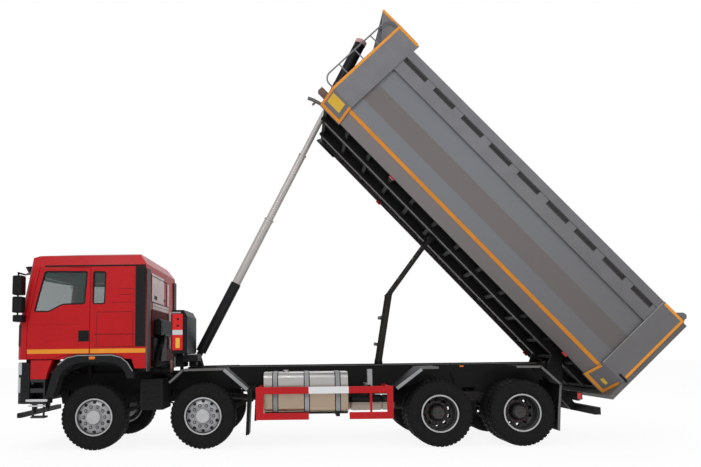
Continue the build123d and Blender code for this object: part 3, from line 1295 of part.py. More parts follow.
def stabiliser_lower():
    """Lower frame of the scissor: two links tied by two tubes behind them, with capped knees."""
    half = link_arm(STAB_LOWER_L, STAB_Y, (0,))
    for z in (300, 800):
        half += box((-95, STAB_Y, z - 30), (0, STAB_Y + LINK_T, z + 30))
        half += rod_y(-85, z, 20, 0, STAB_Y + 4)
    half += rod_y(0, STAB_LOWER_L, 26, STAB_Y + LINK_T - 2, STAB_Y + LINK_T + 14)
    frame = half + mirror(half, about=Plane.XZ)
    return Pos(STAB_FOOT[0], 0, STAB_FOOT[1]) * Rot(0, STAB_LOWER_LEAN, 0) * frame


def stabiliser_upper():
    """Upper frame of the scissor, inside the lower one, hung from the bed."""
    y_low = STAB_Y - LINK_T - RUNNING_GAP
    half = mirror(link_arm(STAB_UPPER_L, y_low, (0,)), about=Plane.XY)
    for z in (420, STAB_UPPER_L - 380):
        half += rod_y(0, -z, 24, 0, y_low + 4)
    frame = half + mirror(half, about=Plane.XZ)
    top = bed_point(STAB_HEAD)
    return Pos(top[0], 0, top[1]) * Rot(0, STAB_UPPER_LEAN, 0) * frame


# ---------------------------------------------------------------- assembly
PIECES = {
    "chassis_frame": chassis_frame(),
    "axles": axles(),
    "leaf_springs": leaf_springs(),
    "driveline": Compound(driveline().solids() + inter_axle_shaft().solids()),
    "fuel_tank": fuel_tank(),
    "oil_tank": oil_tank(),
    "air_tanks": air_tanks(),
    "muffler": muffler(),
    "battery_box": battery_box(),
    "air_cleaner": air_cleaner(),
    "side_guards": side_guards(),
    "mudguards": mudguards(),
    "rear_bumper": rear_bumper(),
    "front_bumper": front_bumper(),
    "wheel_arches": wheel_arches(),
    "cab_steps": cab_steps(),
    "cab_shell": cab_shell(),
    "cab_glass": cab_glass(),
    "grille_panel": grille_panel(),
    "mirrors": mirrors(),
    "cab_trim": cab_trim(),
    "cab_interior": cab_interior(),
    "bed_body": on_bed(bed_body()),
    "bed_underframe": on_bed(bed_underframe()),
    "bed_front_rail": on_bed(bed_front_rail()),
    "tailgate": on_bed(tailgate()),
    "hoist_base": hoist_base(),
    "hoist_stage_1": hoist_stage(1),
    "hoist_stage_2": hoist_stage(2),
    "hoist_stage_3": hoist_stage(3),
    "hoist_cover": hoist_cover(),
    "stabiliser_lower": stabiliser_lower(),
    "stabiliser_upper": stabiliser_upper(),
}

for side_name, side_sign in SIDES.items():
    PIECES[f"door_{side_name}"] = door(side_sign)
    PIECES[f"door_glass_{side_name}"] = door_glass(side_sign)
    for axle_name, axle_x in AXLE_X.items():
        if axle_name in STEERED:
            rubber = tyre(STEER_TRACK / 2)
            metal = steered_wheel()
            PIECES[f"knuckle_{axle_name}_{side_name}"] = Pos(axle_x, 0, WHEEL_Z) * (
                knuckle() if side_sign > 0 else mirror(knuckle(), about=Plane.XZ))
        else:
            rubber = Compound([tyre(DRIVE_TRACK / 2 - TWIN_SPACING / 2),
                                        tyre(DRIVE_TRACK / 2 + TWIN_SPACING / 2)])
            metal = driven_wheel()
        for kind, shape in (("tyre", rubber), ("wheel", metal)):
            placed = shape if side_sign > 0 else mirror(shape, about=Plane.XZ)
            PIECES[f"{kind}_{axle_name}_{side_name}"] = Pos(axle_x, 0, WHEEL_Z) * placed

BOUNDS = [piece.bounding_box() for piece in PIECES.values()]
ORIGIN_X = (min(b.min.X for b in BOUNDS) + max(b.max.X for b in BOUNDS)) / 2

if __name__ == "__main__":
    os.makedirs("parts", exist_ok=True)
    for piece_name, piece in PIECES.items():
        export_step(Pos(-ORIGIN_X, 0, 0) * piece, f"parts/{piece_name}.step")
    print(f"origin {ORIGIN_X:.2f} mm behind the first axle, {len(PIECES)} pieces")
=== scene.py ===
"""Looks for the dump truck: materials, small parts, studio, lights and camera, in metres."""
import math

import bmesh
import bpy
from mathutils import Matrix, Vector


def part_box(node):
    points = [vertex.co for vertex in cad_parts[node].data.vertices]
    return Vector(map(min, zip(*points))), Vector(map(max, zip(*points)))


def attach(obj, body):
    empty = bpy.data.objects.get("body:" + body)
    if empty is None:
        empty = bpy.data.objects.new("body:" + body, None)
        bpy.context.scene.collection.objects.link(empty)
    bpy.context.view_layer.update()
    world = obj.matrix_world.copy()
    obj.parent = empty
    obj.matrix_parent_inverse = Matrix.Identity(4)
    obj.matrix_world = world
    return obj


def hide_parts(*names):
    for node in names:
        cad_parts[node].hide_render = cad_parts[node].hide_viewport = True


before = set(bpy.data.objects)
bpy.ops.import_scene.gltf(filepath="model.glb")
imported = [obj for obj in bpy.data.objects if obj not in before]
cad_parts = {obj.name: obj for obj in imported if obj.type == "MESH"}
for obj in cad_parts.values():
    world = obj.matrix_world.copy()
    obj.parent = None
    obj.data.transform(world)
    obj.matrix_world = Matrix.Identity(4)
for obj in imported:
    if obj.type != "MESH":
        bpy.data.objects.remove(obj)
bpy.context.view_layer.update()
scene = bpy.context.scene

# ------------------------ places
LOW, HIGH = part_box("tyre_axle1_left")
AXLE_1 = (LOW[0] + HIGH[0]) / 2  # X of the first axle; lengths below count from it
TYRE_R = (HIGH[2] - LOW[2]) / 2
AXLES = {"axle1": 0.0, "axle2": 1.8, "axle3": 5.7, "axle4": 7.05}
STEERED = ("axle1", "axle2")
SIDES = {"left": -1, "right": 1}
BED_ANGLE = math.radians(47.3)
BED_HINGE = (7.95, 1.45)  # X and Z of the tipping hinge


def truck(x, y, z):
    """A point measured from the first axle."""
    return Vector((x + AXLE_1, y, z))


BED_FRAME = Matrix.Translation(truck(BED_HINGE[0], 0, BED_HINGE[1])) @ Matrix.Rotation(BED_ANGLE, 4, "Y")


def bed(x, y, z):
    """A point in the raised bed's own axes: x along its floor from the hinge, z square to it."""
    return BED_FRAME @ Vector((x, y, z))


HOIST_FOOT = (1.54, 1.5)  # X and Z of the hoist's lower pin
HOIST_HEAD = bed(-6.33, 0, 0.737)
HOIST_LEAN = math.atan2(HOIST_HEAD.x - AXLE_1 - HOIST_FOOT[0], HOIST_HEAD.z - HOIST_FOOT[1])
HOIST_FRAME = Matrix.Translation(truck(HOIST_FOOT[0], 0, HOIST_FOOT[1])) @ Matrix.Rotation(HOIST_LEAN, 4, "Y")


def hoist(x, y, z):
    """A point on the raised hoist: z along it from its foot."""
    return HOIST_FRAME @ Vector((x, y, z))


# ------------------------ materials
class Nodes:
    """A short way to build a node material."""

    def __init__(self, name):
        self.mat = bpy.data.materials.new(name)
        self.mat.use_nodes = True
        self.tree = self.mat.node_tree
        self.tree.nodes.clear()
        self.out = self.add("OutputMaterial")
        self.shader = self.add("BsdfPrincipled")
        self.tree.links.new(self.shader.outputs[0], self.out.inputs[0])
        self.coords = self.add("TexCoord").outputs["Object"]

    def add(self, kind):
        """A new node of the tree."""
        return self.tree.nodes.new("ShaderNode" + kind)

    def put(self, socket, value):
        """Link an output, or set a constant on the socket itself."""
        if hasattr(value, "is_output"):
            self.tree.links.new(value, socket)
        elif hasattr(value, "__len__") and len(value) == 3 and len(socket.default_value) == 4:
            socket.default_value = (*value, 1)
        else:
            socket.default_value = value

    def noise(self, scale, detail=4, rough=0.55, stretch=(1, 1, 1), seed=0.0):
        """Object-space noise, optionally stretched along an axis."""
        mapping = self.add("Mapping")
        self.put(mapping.inputs["Vector"], self.coords)
        mapping.inputs["Scale"].default_value = stretch
        mapping.inputs["Location"].default_value = (seed, seed * 1.7, seed * 0.6)
        node = self.add("TexNoise")
        self.put(node.inputs["Vector"], mapping.outputs[0])
        node.inputs["Scale"].default_value = scale
        node.inputs["Detail"].default_value = detail
        node.inputs["Roughness"].default_value = rough
        return node.outputs["Fac"]

    def ramp(self, fac, low, high, a=0.0, b=1.0):
        """Map a value from low..high to a..b, smoothly and clamped."""
        node = self.add("MapRange")
        node.interpolation_type = "SMOOTHSTEP"
        self.put(node.inputs["Value"], fac)
        for key, value in (("From Min", low), ("From Max", high), ("To Min", a), ("To Max", b)):
            node.inputs[key].default_value = value
        return node.outputs[0]

    def math(self, op, a, b=0.0):
        """Two values through one Math node."""
        node = self.add("Math")
        node.operation = op
        self.put(node.inputs[0], a)
        self.put(node.inputs[1], b)
        return node.outputs[0]

    def between(self, value, rise, fall):
        """1 between two soft edges, each given by the values at which it is 0 and 1."""
        return self.math("MULTIPLY", self.ramp(value, *rise), self.ramp(value, *fall))

    def mix(self, fac, a, b):
        """Blend two colours."""
        node = self.add("Mix")
        node.data_type = "RGBA"
        self.put(node.inputs["Factor"], fac)
        self.put(node.inputs["A"], a)
        self.put(node.inputs["B"], b)
        return node.outputs["Result"]

    def axis(self, name):
        """One object-space coordinate."""
        node = self.add("SeparateXYZ")
        self.put(node.inputs[0], self.coords)
        return node.outputs[name]

    def edges(self):
        """High on worn convex edges."""
        node = self.add("NewGeometry")
        return self.ramp(node.outputs["Pointiness"], 0.52, 0.62)

    def bump(self, height, strength, distance):
        """Fine relief from a height."""
        node = self.add("Bump")
        node.inputs["Strength"].default_value = strength
        node.inputs["Distance"].default_value = distance
        self.put(node.inputs["Height"], height)
        self.put(self.shader.inputs["Normal"], node.outputs[0])

    def set(self, **values):
        """Put values on the shader, with underscores for the spaces in its sockets' names."""
        for key, value in values.items():
            self.put(self.shader.inputs[key.replace("_", " ")], value)


def shade(colour, k):
    """A colour made darker or paler."""
    return tuple(max(0.0, min(1.0, c * k)) for c in colour)


DUST = (0.33, 0.29, 0.24)
BRIGHT = 0.1  # above this a colour counts as bright and shines more
BRIGHT_SPECULAR, DARK_SPECULAR = 0.25, 0.12


def coated(name, colour, rough=0.38, metal=0.0, coat=0.0, dust=0.05, wear=(0.3, 0.3, 0.3), wear_amount=0.03,
           mottled=0.12, grain=260, bump=0.12, dust_top=1.5, seed=0.0, tone_and_painted_light=None):
    """Painted or moulded surface: mottled colour, dust that thickens downward, worn edges, fine grain."""
    n = Nodes(name)
    patches = n.noise(2.6, 5, 0.6, seed=seed)
    base = n.mix(n.ramp(patches, 0.35, 0.68), shade(colour, 1 - mottled), shade(colour, 1 + mottled))
    # The optional function adds two-tone paint on some materials, and painted reflections and painted shade
    # on others.
    if tone_and_painted_light is not None:
        base = tone_and_painted_light(n, base)
    fine = n.noise(38, 6, 0.7, seed=seed + 3)
    height = n.ramp(n.axis("Z"), 0.1, dust_top, 1.0, 0.12)
    film = n.math("MULTIPLY", n.math("MULTIPLY", n.ramp(fine, 0.38, 0.72), height), dust)
    base = n.mix(film, base, DUST)
    chips = n.math("MULTIPLY", n.edges(), n.ramp(n.noise(60, 3, 0.6, seed=seed + 5), 0.42, 0.6))
    base = n.mix(n.math("MULTIPLY", chips, wear_amount), base, wear)
    specular = BRIGHT_SPECULAR if max(colour) > BRIGHT else DARK_SPECULAR
    n.set(Base_Color=base, Metallic=metal, Specular_IOR_Level=specular)
    n.set(Roughness=n.ramp(n.math("ADD", fine, film), 0.3, 0.95, rough - 0.08, rough + 0.22))
    if coat:
        n.set(Coat_Weight=coat, Coat_Roughness=0.08)
    n.bump(n.noise(grain, 3, 0.6, seed=seed + 9), bump, 0.001)
    return n.mat


def bed_axes(n):
    """Height and length in the raised bed's axes, from object coordinates."""
    c, s = math.cos(BED_ANGLE), math.sin(BED_ANGLE)
    x = n.math("SUBTRACT", n.axis("X"), BED_HINGE[0] + AXLE_1)
    z = n.math("SUBTRACT", n.axis("Z"), BED_HINGE[1])
    up = n.math("ADD", n.math("MULTIPLY", x, s), n.math("MULTIPLY", z, c))
    along = n.math("SUBTRACT", n.math("MULTIPLY", x, c), n.math("MULTIPLY", z, s))
    return up, along


# Painted reflections of ground and sky on the bed's side and painted floor light on its low face; painted
# shade aft and underneath.
BROWN_REFLECTION, BLUE_REFLECTION, LOW_FACE_PAINTED_LIGHT = (0.155, 0.137, 0.13), (0.178, 0.181, 0.192), (0.24, 0.212, 0.208)
AFT_SHADE, UNDER_SHADE = (0.1, 0.086, 0.078), (0.01, 0.01, 0.011)


def bed_painted_reflections_and_shade(n, base):
    """Painted reflections as browner and bluer bands along the body's folds and a paler low face, with
    painted shade aft and underneath.
    """
    up, along = bed_axes(n)
    out = n.math("ABSOLUTE", n.axis("Y"))
    side = n.math("MULTIPLY", n.ramp(out, 1.216, 1.212), n.between(along, (-5.585, -5.577), (0.384, 0.376)))
    brown = n.between(up, (0.485, 0.5), (0.885, 0.87))
    blue = n.math("ADD", n.between(up, (0.22, 0.24), (0.515, 0.5)), n.between(up, (0.87, 0.9), (1.26, 1.24)))
    low = n.ramp(up, 0.23, 0.21)
    for band, colour in ((brown, BROWN_REFLECTION), (blue, BLUE_REFLECTION), (low, LOW_FACE_PAINTED_LIGHT)):
        base = n.mix(n.math("MULTIPLY", side, band), base, colour)
    aft_painted_shade = n.math("MULTIPLY", n.ramp(along, -4.5, 0.8), 0.75)
    base = n.mix(aft_painted_shade, base, n.mix(0.55, base, AFT_SHADE))
    under = n.math("MULTIPLY", n.ramp(out, 0.938, 0.93), n.ramp(up, 0.125, 0.115))
    return n.mix(under, base, UNDER_SHADE)


def guard_bands(n, base):
    """White stretch in the middle of the red guard."""
    x = n.math("SUBTRACT", n.axis("X"), AXLE_1)
    return n.mix(n.between(x, (3.546, 3.55), (4.206, 4.202)), base, (0.78, 0.77, 0.76))


def step_bands(n, base):
    """Red upper panel over dark steps."""
    return n.mix(n.ramp(n.axis("Z"), 1.178, 1.182), (0.03, 0.03, 0.032), base)


def tank_painted_reflection(n, base):
    """Painted reflection of the warm ground over the fuel tank's lower half."""
    return n.mix(n.ramp(n.axis("Z"), 1.06, 0.96), base, (0.44, 0.34, 0.25))


def air_tank_painted_light(n, base):
    """Painted shade over the upper half, as the tanks lie under the rail's shade, and a painted reflection of
    the warm ground over the lower half.
    """
    return n.mix(n.ramp(n.axis("Z"), 0.705, 0.715), (0.42, 0.36, 0.3), (0.01, 0.01, 0.01))


def glass(name, colour, alpha):
    """Tinted cab glass with a light film of dust."""
    n = Nodes(name)
    film = n.ramp(n.noise(9, 5, 0.65), 0.45, 0.8, 0.0, 0.12)
    n.set(Base_Color=n.mix(film, colour, DUST), Roughness=n.ramp(n.noise(30, 3), 0.3, 0.8, 0.03, 0.12))
    n.set(Alpha=n.math("ADD", n.math("MULTIPLY", film, 0.5), alpha), Coat_Weight=0.6, Coat_Roughness=0.03)
    n.mat.surface_render_method = "BLENDED"
    return n.mat


def rubber(name):
    """Dusty tyre rubber."""
    n = Nodes(name)
    patches = n.ramp(n.noise(7, 6, 0.7), 0.35, 0.75)
    base = n.mix(patches, (0.006, 0.006, 0.006), (0.013, 0.0125, 0.012))
    dirt = n.ramp(n.noise(26, 6, 0.75, seed=2), 0.5, 0.78, 0.0, 0.35)
    n.set(Base_Color=n.mix(dirt, base, (0.05, 0.046, 0.04)))
    n.set(Roughness=n.ramp(patches, 0, 1, 0.62, 0.86), Specular_IOR_Level=DARK_SPECULAR)
    n.bump(n.noise(180, 4, 0.7), 0.35, 0.0012)
    return n.mat


def brushed(name, colour, rough, stretch, dust=0.15, seed=0.0, tone_and_painted_light=None):
    """Drawn or rolled metal: fine lines, smudges and dust."""
    n = Nodes(name)
    lines = n.noise(22, 5, 0.7, stretch=stretch, seed=seed)
    smudge = n.ramp(n.noise(4.5, 5, 0.65, seed=seed + 1), 0.35, 0.7)
    base = n.mix(lines, shade(colour, 0.9), shade(colour, 1.06))
    # The optional function adds a painted reflection of the ground on the fuel tank.
    if tone_and_painted_light is not None:
        base = tone_and_painted_light(n, base)
    n.set(Base_Color=n.mix(n.math("MULTIPLY", smudge, dust), base, DUST), Metallic=1.0)
    uneven = n.math("ADD", lines, n.math("MULTIPLY", smudge, 0.5))
    n.set(Roughness=n.ramp(uneven, 0.3, 1.2, rough, rough + 0.25))
    n.bump(lines, 0.12, 0.0006)
    return n.mat


RED = (0.49, 0.004, 0.007)
ORANGE = (0.83, 0.29, 0.012)
M = {
    "frame": coated("frame_black", (0.007, 0.007, 0.0075), 0.5, dust=0.06, bump=0.04, seed=1),
    "iron": coated("dark_iron", (0.012, 0.0115, 0.011), 0.62, dust=0.18, seed=2),
    "engine": coated("engine_grey", (0.02, 0.02, 0.02), 0.6, metal=0.4, dust=0.2, seed=3),
    "tank": brushed("tank_aluminium", (0.52, 0.5, 0.48), 0.3, (40, 1, 1), dust=0.04, seed=4, tone_and_painted_light=tank_painted_reflection),
    "oil": coated("oil_tank_black", (0.006, 0.006, 0.007), 0.4, coat=0.06, dust=0.02, bump=0.01, seed=6),
    # The air tanks' silver is replaced by painted shade above and a painted reflection of the ground below.
    "silver": coated("silver_paint", (0.4, 0.4, 0.4), 0.36, metal=0.4, bump=0.02, seed=7,
                     tone_and_painted_light=air_tank_painted_light),
    "muffler": brushed("muffler_steel", (0.2, 0.19, 0.18), 0.42, (30, 1, 1), seed=8),
    "plastic": coated("black_plastic", (0.008, 0.008, 0.0085), 0.5, grain=420, bump=0.04, seed=9),
    "trim": coated("dark_trim", (0.009, 0.0095, 0.01), 0.45, dust=0.04, grain=420, bump=0.04, seed=10),
    "guard": coated("guard_paint", (0.5, 0.004, 0.007), 0.5, dust=0.01, mottled=0.05, bump=0.01, seed=11,
                    tone_and_painted_light=guard_bands),
    "cab": coated("cab_red", RED, 0.34, coat=0.06, dust=0.01, wear=(0.25, 0.01, 0.01), wear_amount=0.02,
                  mottled=0.04, bump=0.003, seed=12),
    "step": coated("step_paint", RED, 0.4, dust=0.02, mottled=0.05, bump=0.01, seed=13, tone_and_painted_light=step_bands),
    "glass": glass("cab_glass_tint", (0.05, 0.1, 0.09), 0.34),
    "inside": coated("cab_trim_fabric", (0.06, 0.06, 0.062), 0.85, dust=0.0, grain=700, bump=0.4, seed=14),
    "bed": coated("bed_grey", (0.175, 0.172, 0.179), 0.42, dust=0.04, wear=(0.3, 0.29, 0.28), mottled=0.06,
                  bump=0.05, dust_top=3.0, seed=15, tone_and_painted_light=bed_painted_reflections_and_shade),
    "under": coated("underframe_black", (0.014, 0.013, 0.0125), 0.6, dust=0.03, bump=0.03, seed=17),
    # Also the painted highlight strips along the frame's and the bed beams' edges.
    "edge": coated("grey_and_edge_highlight", (0.13, 0.122, 0.115), 0.5, bump=0.02, seed=18),
    "tube": coated("rail_grey", (0.2, 0.2, 0.205), 0.4, metal=0.3, seed=19),
    "gate": coated("gate_grey", (0.13, 0.122, 0.118), 0.5, dust=0.04, bump=0.04, seed=20),
    "barrel": coated("hoist_black", (0.008, 0.008, 0.009), 0.4, dust=0.03, coat=0.08, bump=0.02, seed=21),
    "stage": coated("stage_beige", (0.5, 0.46, 0.43), 0.34, metal=0.2, dust=0.03, mottled=0.04, bump=0.01,
                    seed=22),
    "cap": coated("cap_pink", (0.6, 0.36, 0.34), 0.5, dust=0.04, bump=0.02, seed=23),
    "stab": coated("stabiliser_brown", (0.02, 0.018, 0.016), 0.5, metal=0.3, dust=0.12,
                   wear=(0.2, 0.18, 0.16), seed=24),
    "wheel": coated("wheel_silver", (0.34, 0.34, 0.35), 0.38, metal=0.45, dust=0.18, seed=25, dust_top=1.2),
    "rear_wheel": coated("rear_wheel_grey", (0.05, 0.05, 0.053), 0.42, metal=0.5, dust=0.2, seed=26),
    "rim": coated("rim_silver", (0.5, 0.5, 0.5), 0.36, metal=0.4, dust=0.15, seed=37, dust_top=1.2),
    "hub": coated("hub_dark", (0.015, 0.015, 0.016), 0.4, metal=0.5, dust=0.15, seed=27),
    "rubber": rubber("tyre_rubber_dusty"),
    "orange": coated("reflective_orange", ORANGE, 0.4, dust=0.04, mottled=0.05, wear_amount=0.1, grain=900,
                     seed=28),
    "yellow": coated("reflective_yellow", (0.8, 0.5, 0.05), 0.4, dust=0.08, mottled=0.05, grain=900, seed=29),
    "white": coated("reflective_white", (0.62, 0.62, 0.62), 0.4, dust=0.1, mottled=0.05, seed=30),
    # Also the painted highlight along the top edge of the wheel arch.
    "grey_trim_and_highlight": coated("guard_edge_grey", (0.3, 0.3, 0.3), 0.45, metal=0.3, dust=0.15, seed=31),
    "lamp_red": coated("lamp_red", (0.5, 0.01, 0.01), 0.2, coat=0.6, seed=32),
    "lamp_amber": coated("lamp_amber", (0.85, 0.2, 0.01), 0.2, coat=0.6, seed=33),
    "lamp_clear": coated("lamp_clear", (0.5, 0.52, 0.54), 0.15, coat=0.7, seed=34),
    "seam": coated("panel_seam", (0.14, 0.003, 0.005), 0.7, dust=0.0, seed=36),
    "sign_red": coated("bright_red", (0.68, 0.012, 0.012), 0.4, dust=0.02, mottled=0.04, bump=0.01, seed=39),
    "pale": coated("pale_panel", (0.85, 0.68, 0.66), 0.6, dust=0.02, mottled=0.08, bump=0.01, seed=40),
    "dark_red": coated("shaded_red", (0.1, 0.005, 0.007), 0.7, dust=0.02, bump=0.01, seed=41),
    "deflector": coated("deflector_grey", (0.085, 0.095, 0.092), 0.5, dust=0.03, bump=0.02, seed=42),
    "brown": coated("pipe_brown", (0.15, 0.085, 0.07), 0.5, bump=0.02, seed=43),
    "band": coated("strap_grey", (0.3, 0.3, 0.31), 0.5, bump=0.02, seed=44),
    "pocket": coated("pocket_shade", (0.05, 0.046, 0.044), 0.6, dust=0.02, bump=0.02, seed=45),
}

CAD_LOOKS = {  # by how a node's name starts; the first that fits counts
    "chassis_frame": "frame", "axles": "iron", "leaf_springs": "iron", "driveline": "engine",
    "fuel_tank": "tank", "oil_tank": "oil", "air_tanks": "silver", "muffler": "muffler",
    "battery_box": "plastic", "air_cleaner": "plastic", "side_guards": "guard", "mudguards": "plastic",
    "rear_bumper": "frame", "front_bumper": "trim", "wheel_arches": "trim", "cab_steps": "step",
    "cab_shell": "cab", "cab_glass": "glass", "grille_panel": "trim", "mirrors": "plastic",
    "cab_trim": "plastic", "cab_interior": "inside", "bed_body": "bed", "bed_underframe": "under",
    "bed_front_rail": "tube", "tailgate": "gate", "hoist_stage": "stage", "hoist": "barrel",
    "stabiliser": "stab", "door_glass": "glass", "door": "cab", "knuckle": "iron", "tyre": "rubber",
    "wheel_axle1": "wheel", "wheel_axle2": "wheel", "wheel": "rear_wheel",
}
for node_name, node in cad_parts.items():
    look = next(key for start, key in CAD_LOOKS.items() if node_name.startswith(start))
    for material_slot in node.material_slots:
        material_slot.material = M[look]


# ------------------------ mesh helpers
def link(name, data, body):
    """Put mesh or curve data in the scene as a piece that rides on a body."""
    obj = bpy.data.objects.new(name, data)
    scene.collection.objects.link(obj)
    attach(obj, body)
    return obj


def add_mesh(name, bm, look, body, smooth=False, bevel=0.0):
    """Turn a bmesh into a piece that rides on a body."""
    bmesh.ops.recalc_face_normals(bm, faces=bm.faces)
    mesh = bpy.data.meshes.new(name)
    bm.to_mesh(mesh)
    bm.free()
    mesh.materials.append(M[look])
    if smooth:
        for poly in mesh.polygons:
            poly.use_smooth = True
    obj = link(name, mesh, body)
    if bevel:
        mod = obj.modifiers.new("edge", "BEVEL")
        mod.width = bevel
        mod.segments = 2
        mod.limit_method = "ANGLE"
    return obj


def tube(name, points, radius, look, body):
    """A round tube through points, bent smoothly."""
    curve = bpy.data.curves.new(name, "CURVE")
    curve.dimensions = "3D"
    curve.bevel_depth = radius
    curve.bevel_resolution = 3
    curve.use_fill_caps = True
    spline = curve.splines.new("NURBS")
    spline.points.add(len(points) - 1)
    for target, p in zip(spline.points, points):
        target.co = (*p, 1)
    spline.order_u = 3
    spline.use_endpoint_u = True
    curve.resolution_u = 8
    curve.materials.append(M[look])
    return link(name, curve, body)


def skin(bm, loops, closed=False):
    """Quads between loops of vertices that follow each other; closed joins the last to the first."""
    for a, b in zip(loops, loops[1:] + loops[:1] if closed else loops[1:]):
        for i in range(len(a)):
            j = (i + 1) % len(a)
            bm.faces.new((a[i], a[j], b[j], b[i]))


def solid(bm, loops):
    """Loops of vertices skinned and closed at both ends."""
    skin(bm, loops)
    bm.faces.new(loops[0])
    bm.faces.new(list(reversed(loops[-1])))


def around(steps):
    """The angles of equal steps round a full turn."""
    return [2 * math.pi * i / steps for i in range(steps)]


def block(bm, low, high, place=truck):
    """A box between two corners, put through a placing function."""
    pts = [place(x, y, z) for x in (low[0], high[0]) for y in (low[1], high[1]) for z in (low[2], high[2])]
    v = [bm.verts.new(p) for p in pts]
    for face in ((0, 1, 3, 2), (4, 6, 7, 5), (0, 4, 5, 1), (2, 3, 7, 6), (0, 2, 6, 4), (1, 5, 7, 3)):
        bm.faces.new([v[i] for i in face])


def piece(name, boxes, look, body, place=truck, bevel=0.0):
    """Boxes of one look on one body, each given by two corners."""
    bm = bmesh.new()
    for low, high in boxes:
        block(bm, low, high, place)
    return add_mesh(name, bm, look, body, bevel=bevel)


def slab(bm, outline, y_low, y_high, place=truck):
    """A prism on an X-Z outline between two values of Y."""
    solid(bm, [[bm.verts.new(place(x, y, z)) for x, z in outline] for y in (y_low, y_high)])


def prisms(name, slabs, look, body, place=truck, bevel=0.0):
    """Prisms of one look on one body, each given by its outline and two values of Y."""
    bm = bmesh.new()
    for outline, y_low, y_high in slabs:
        slab(bm, outline, y_low, y_high, place)
    add_mesh(name, bm, look, body, bevel=bevel)


def strip(a, b, width, side=1):
    """Outline of a straight strip from a to b, widened to one side."""
    dx, dz = b[0] - a[0], b[1] - a[1]
    length = math.hypot(dx, dz)
    nx, nz = -dz / length * width * side, dx / length * width * side
    return [a, b, (b[0] + nx, b[1] + nz), (a[0] + nx, a[1] + nz)]


def lathe(bm, profile, centre, axis, steps=40, place=None):
    """Revolve (along, radius) pairs round an axis through a centre."""
    rings = []
    for along, radius in profile:
        ring = []
        for a in around(steps):
            c, s = radius * math.cos(a), radius * math.sin(a)
            local = {"X": (along, c, s), "Y": (c, along, s), "Z": (c, s, along)}[axis]
            point = Vector(local) + Vector(centre)
            ring.append(bm.verts.new(place(*point) if place else point))
        rings.append(ring)
    solid(bm, rings)


def turned(name, profiles, centre, look, axis="Z", steps=40, smooth=False):
    """Lathed solids of one look on the frame."""
    bm = bmesh.new()
    for profile in profiles:
        lathe(bm, profile, centre, axis, steps)
    add_mesh(name, bm, look, "chassis", smooth)


# ------------------------ tyres and wheel details
LUGS = 44
LUG_SPAN = 2 * math.pi / LUGS * 0.58  # the angle that a shoulder lug takes up
BEAD_Y = 0.1057
# Sections as (Y from the tyre's middle, radius).
TYRE_WALL = [(BEAD_Y, 0.2925), (BEAD_Y, 0.309), (BEAD_Y + 0.012, 0.325), (0.139, 0.36), (0.149, 0.405),
             (0.1505, 0.43), (0.149, 0.46), (0.1475, 0.463), (0.1475, 0.468), (0.146, 0.471), (0.141, 0.50),
             (0.133, 0.516), (0.112, 0.527)]
TYRE_GROOVES = [(0.062, 0.529), (0.060, 0.518), (0.048, 0.518), (0.046, 0.530), (0.008, 0.531),
                (0.006, 0.520)]
SHOULDER_LUG = ((0.147, 0.488), (0.138, 0.521), (0.112, 0.539), (0.066, 0.5415), (0.064, 0.526),
                (0.110, 0.520), (0.130, 0.508))
MIDDLE_BLOCK = ((0.044, 0.5415), (0.010, 0.5418), (0.010, 0.527), (0.044, 0.527))
BLOCK_SLANT = 1.3  # radians of turn for each metre of Y


def wheel_loop(bm, y, radius, steps=64, centre=(0, 0, 0)):
    """A loop of vertices round the wheel's axis, or round a parallel axis through a centre."""
    return [bm.verts.new(Vector((radius * math.cos(a), y, radius * math.sin(a))) + Vector(centre))
            for a in around(steps)]


def lug(bm, section, start, end, middle, sign, slant=0.0):
    """A block of tread between two angles."""
    solid(bm, [[bm.verts.new((r * math.cos(a + y * slant), middle + sign * y, r * math.sin(a + y * slant)))
                for y, r in section] for a in (start, end)])


def tyre_mesh(middles):
    """Tyres with open shoulder lugs, ribs in the middle and rings on the wall, centred on the axle."""
    bm = bmesh.new()
    half = TYRE_WALL + TYRE_GROOVES
    profile = half + [(-y, r) for y, r in reversed(half)]
    for middle in middles:
        skin(bm, [wheel_loop(bm, middle + y, r, LUGS * 2) for y, r in profile], closed=True)
        for sign in (-1, 1):
            for k in range(LUGS):
                start = 2 * math.pi * (k + (0.25 if sign > 0 else 0.0)) / LUGS
                lug(bm, SHOULDER_LUG, start, start + LUG_SPAN, middle, sign)
                start += LUG_SPAN * 0.9
                lug(bm, MIDDLE_BLOCK, start, start + LUG_SPAN * 1.1, middle, sign, BLOCK_SLANT)
    return bm


def nut_ring(bm, y, radius, count, size, phase, out):
    """A ring of wheel nuts with washers and stud ends; out is the side they face."""
    tiers = ((16, size * 1.45, 0, 0.006), (6, size, 0.006, 0.026), (12, size * 0.55, 0.026, 0.036))
    for k in range(count):
        a = 2 * math.pi * (k + phase) / count
        centre = (radius * math.cos(a), out * y, radius * math.sin(a))
        for steps, r, low, high in tiers:
            solid(bm, [wheel_loop(bm, out * depth, r, steps, centre) for depth in (low, high)])


def closed_ring(bm, section, sign):
    """A ring round the wheel's axis from a closed section."""
    skin(bm, [wheel_loop(bm, sign * y, r) for y, r in section], closed=True)


def shift(bm, offset):
    """Move a wheel detail from the origin to its axle."""
    bmesh.ops.translate(bm, verts=bm.verts, vec=offset)


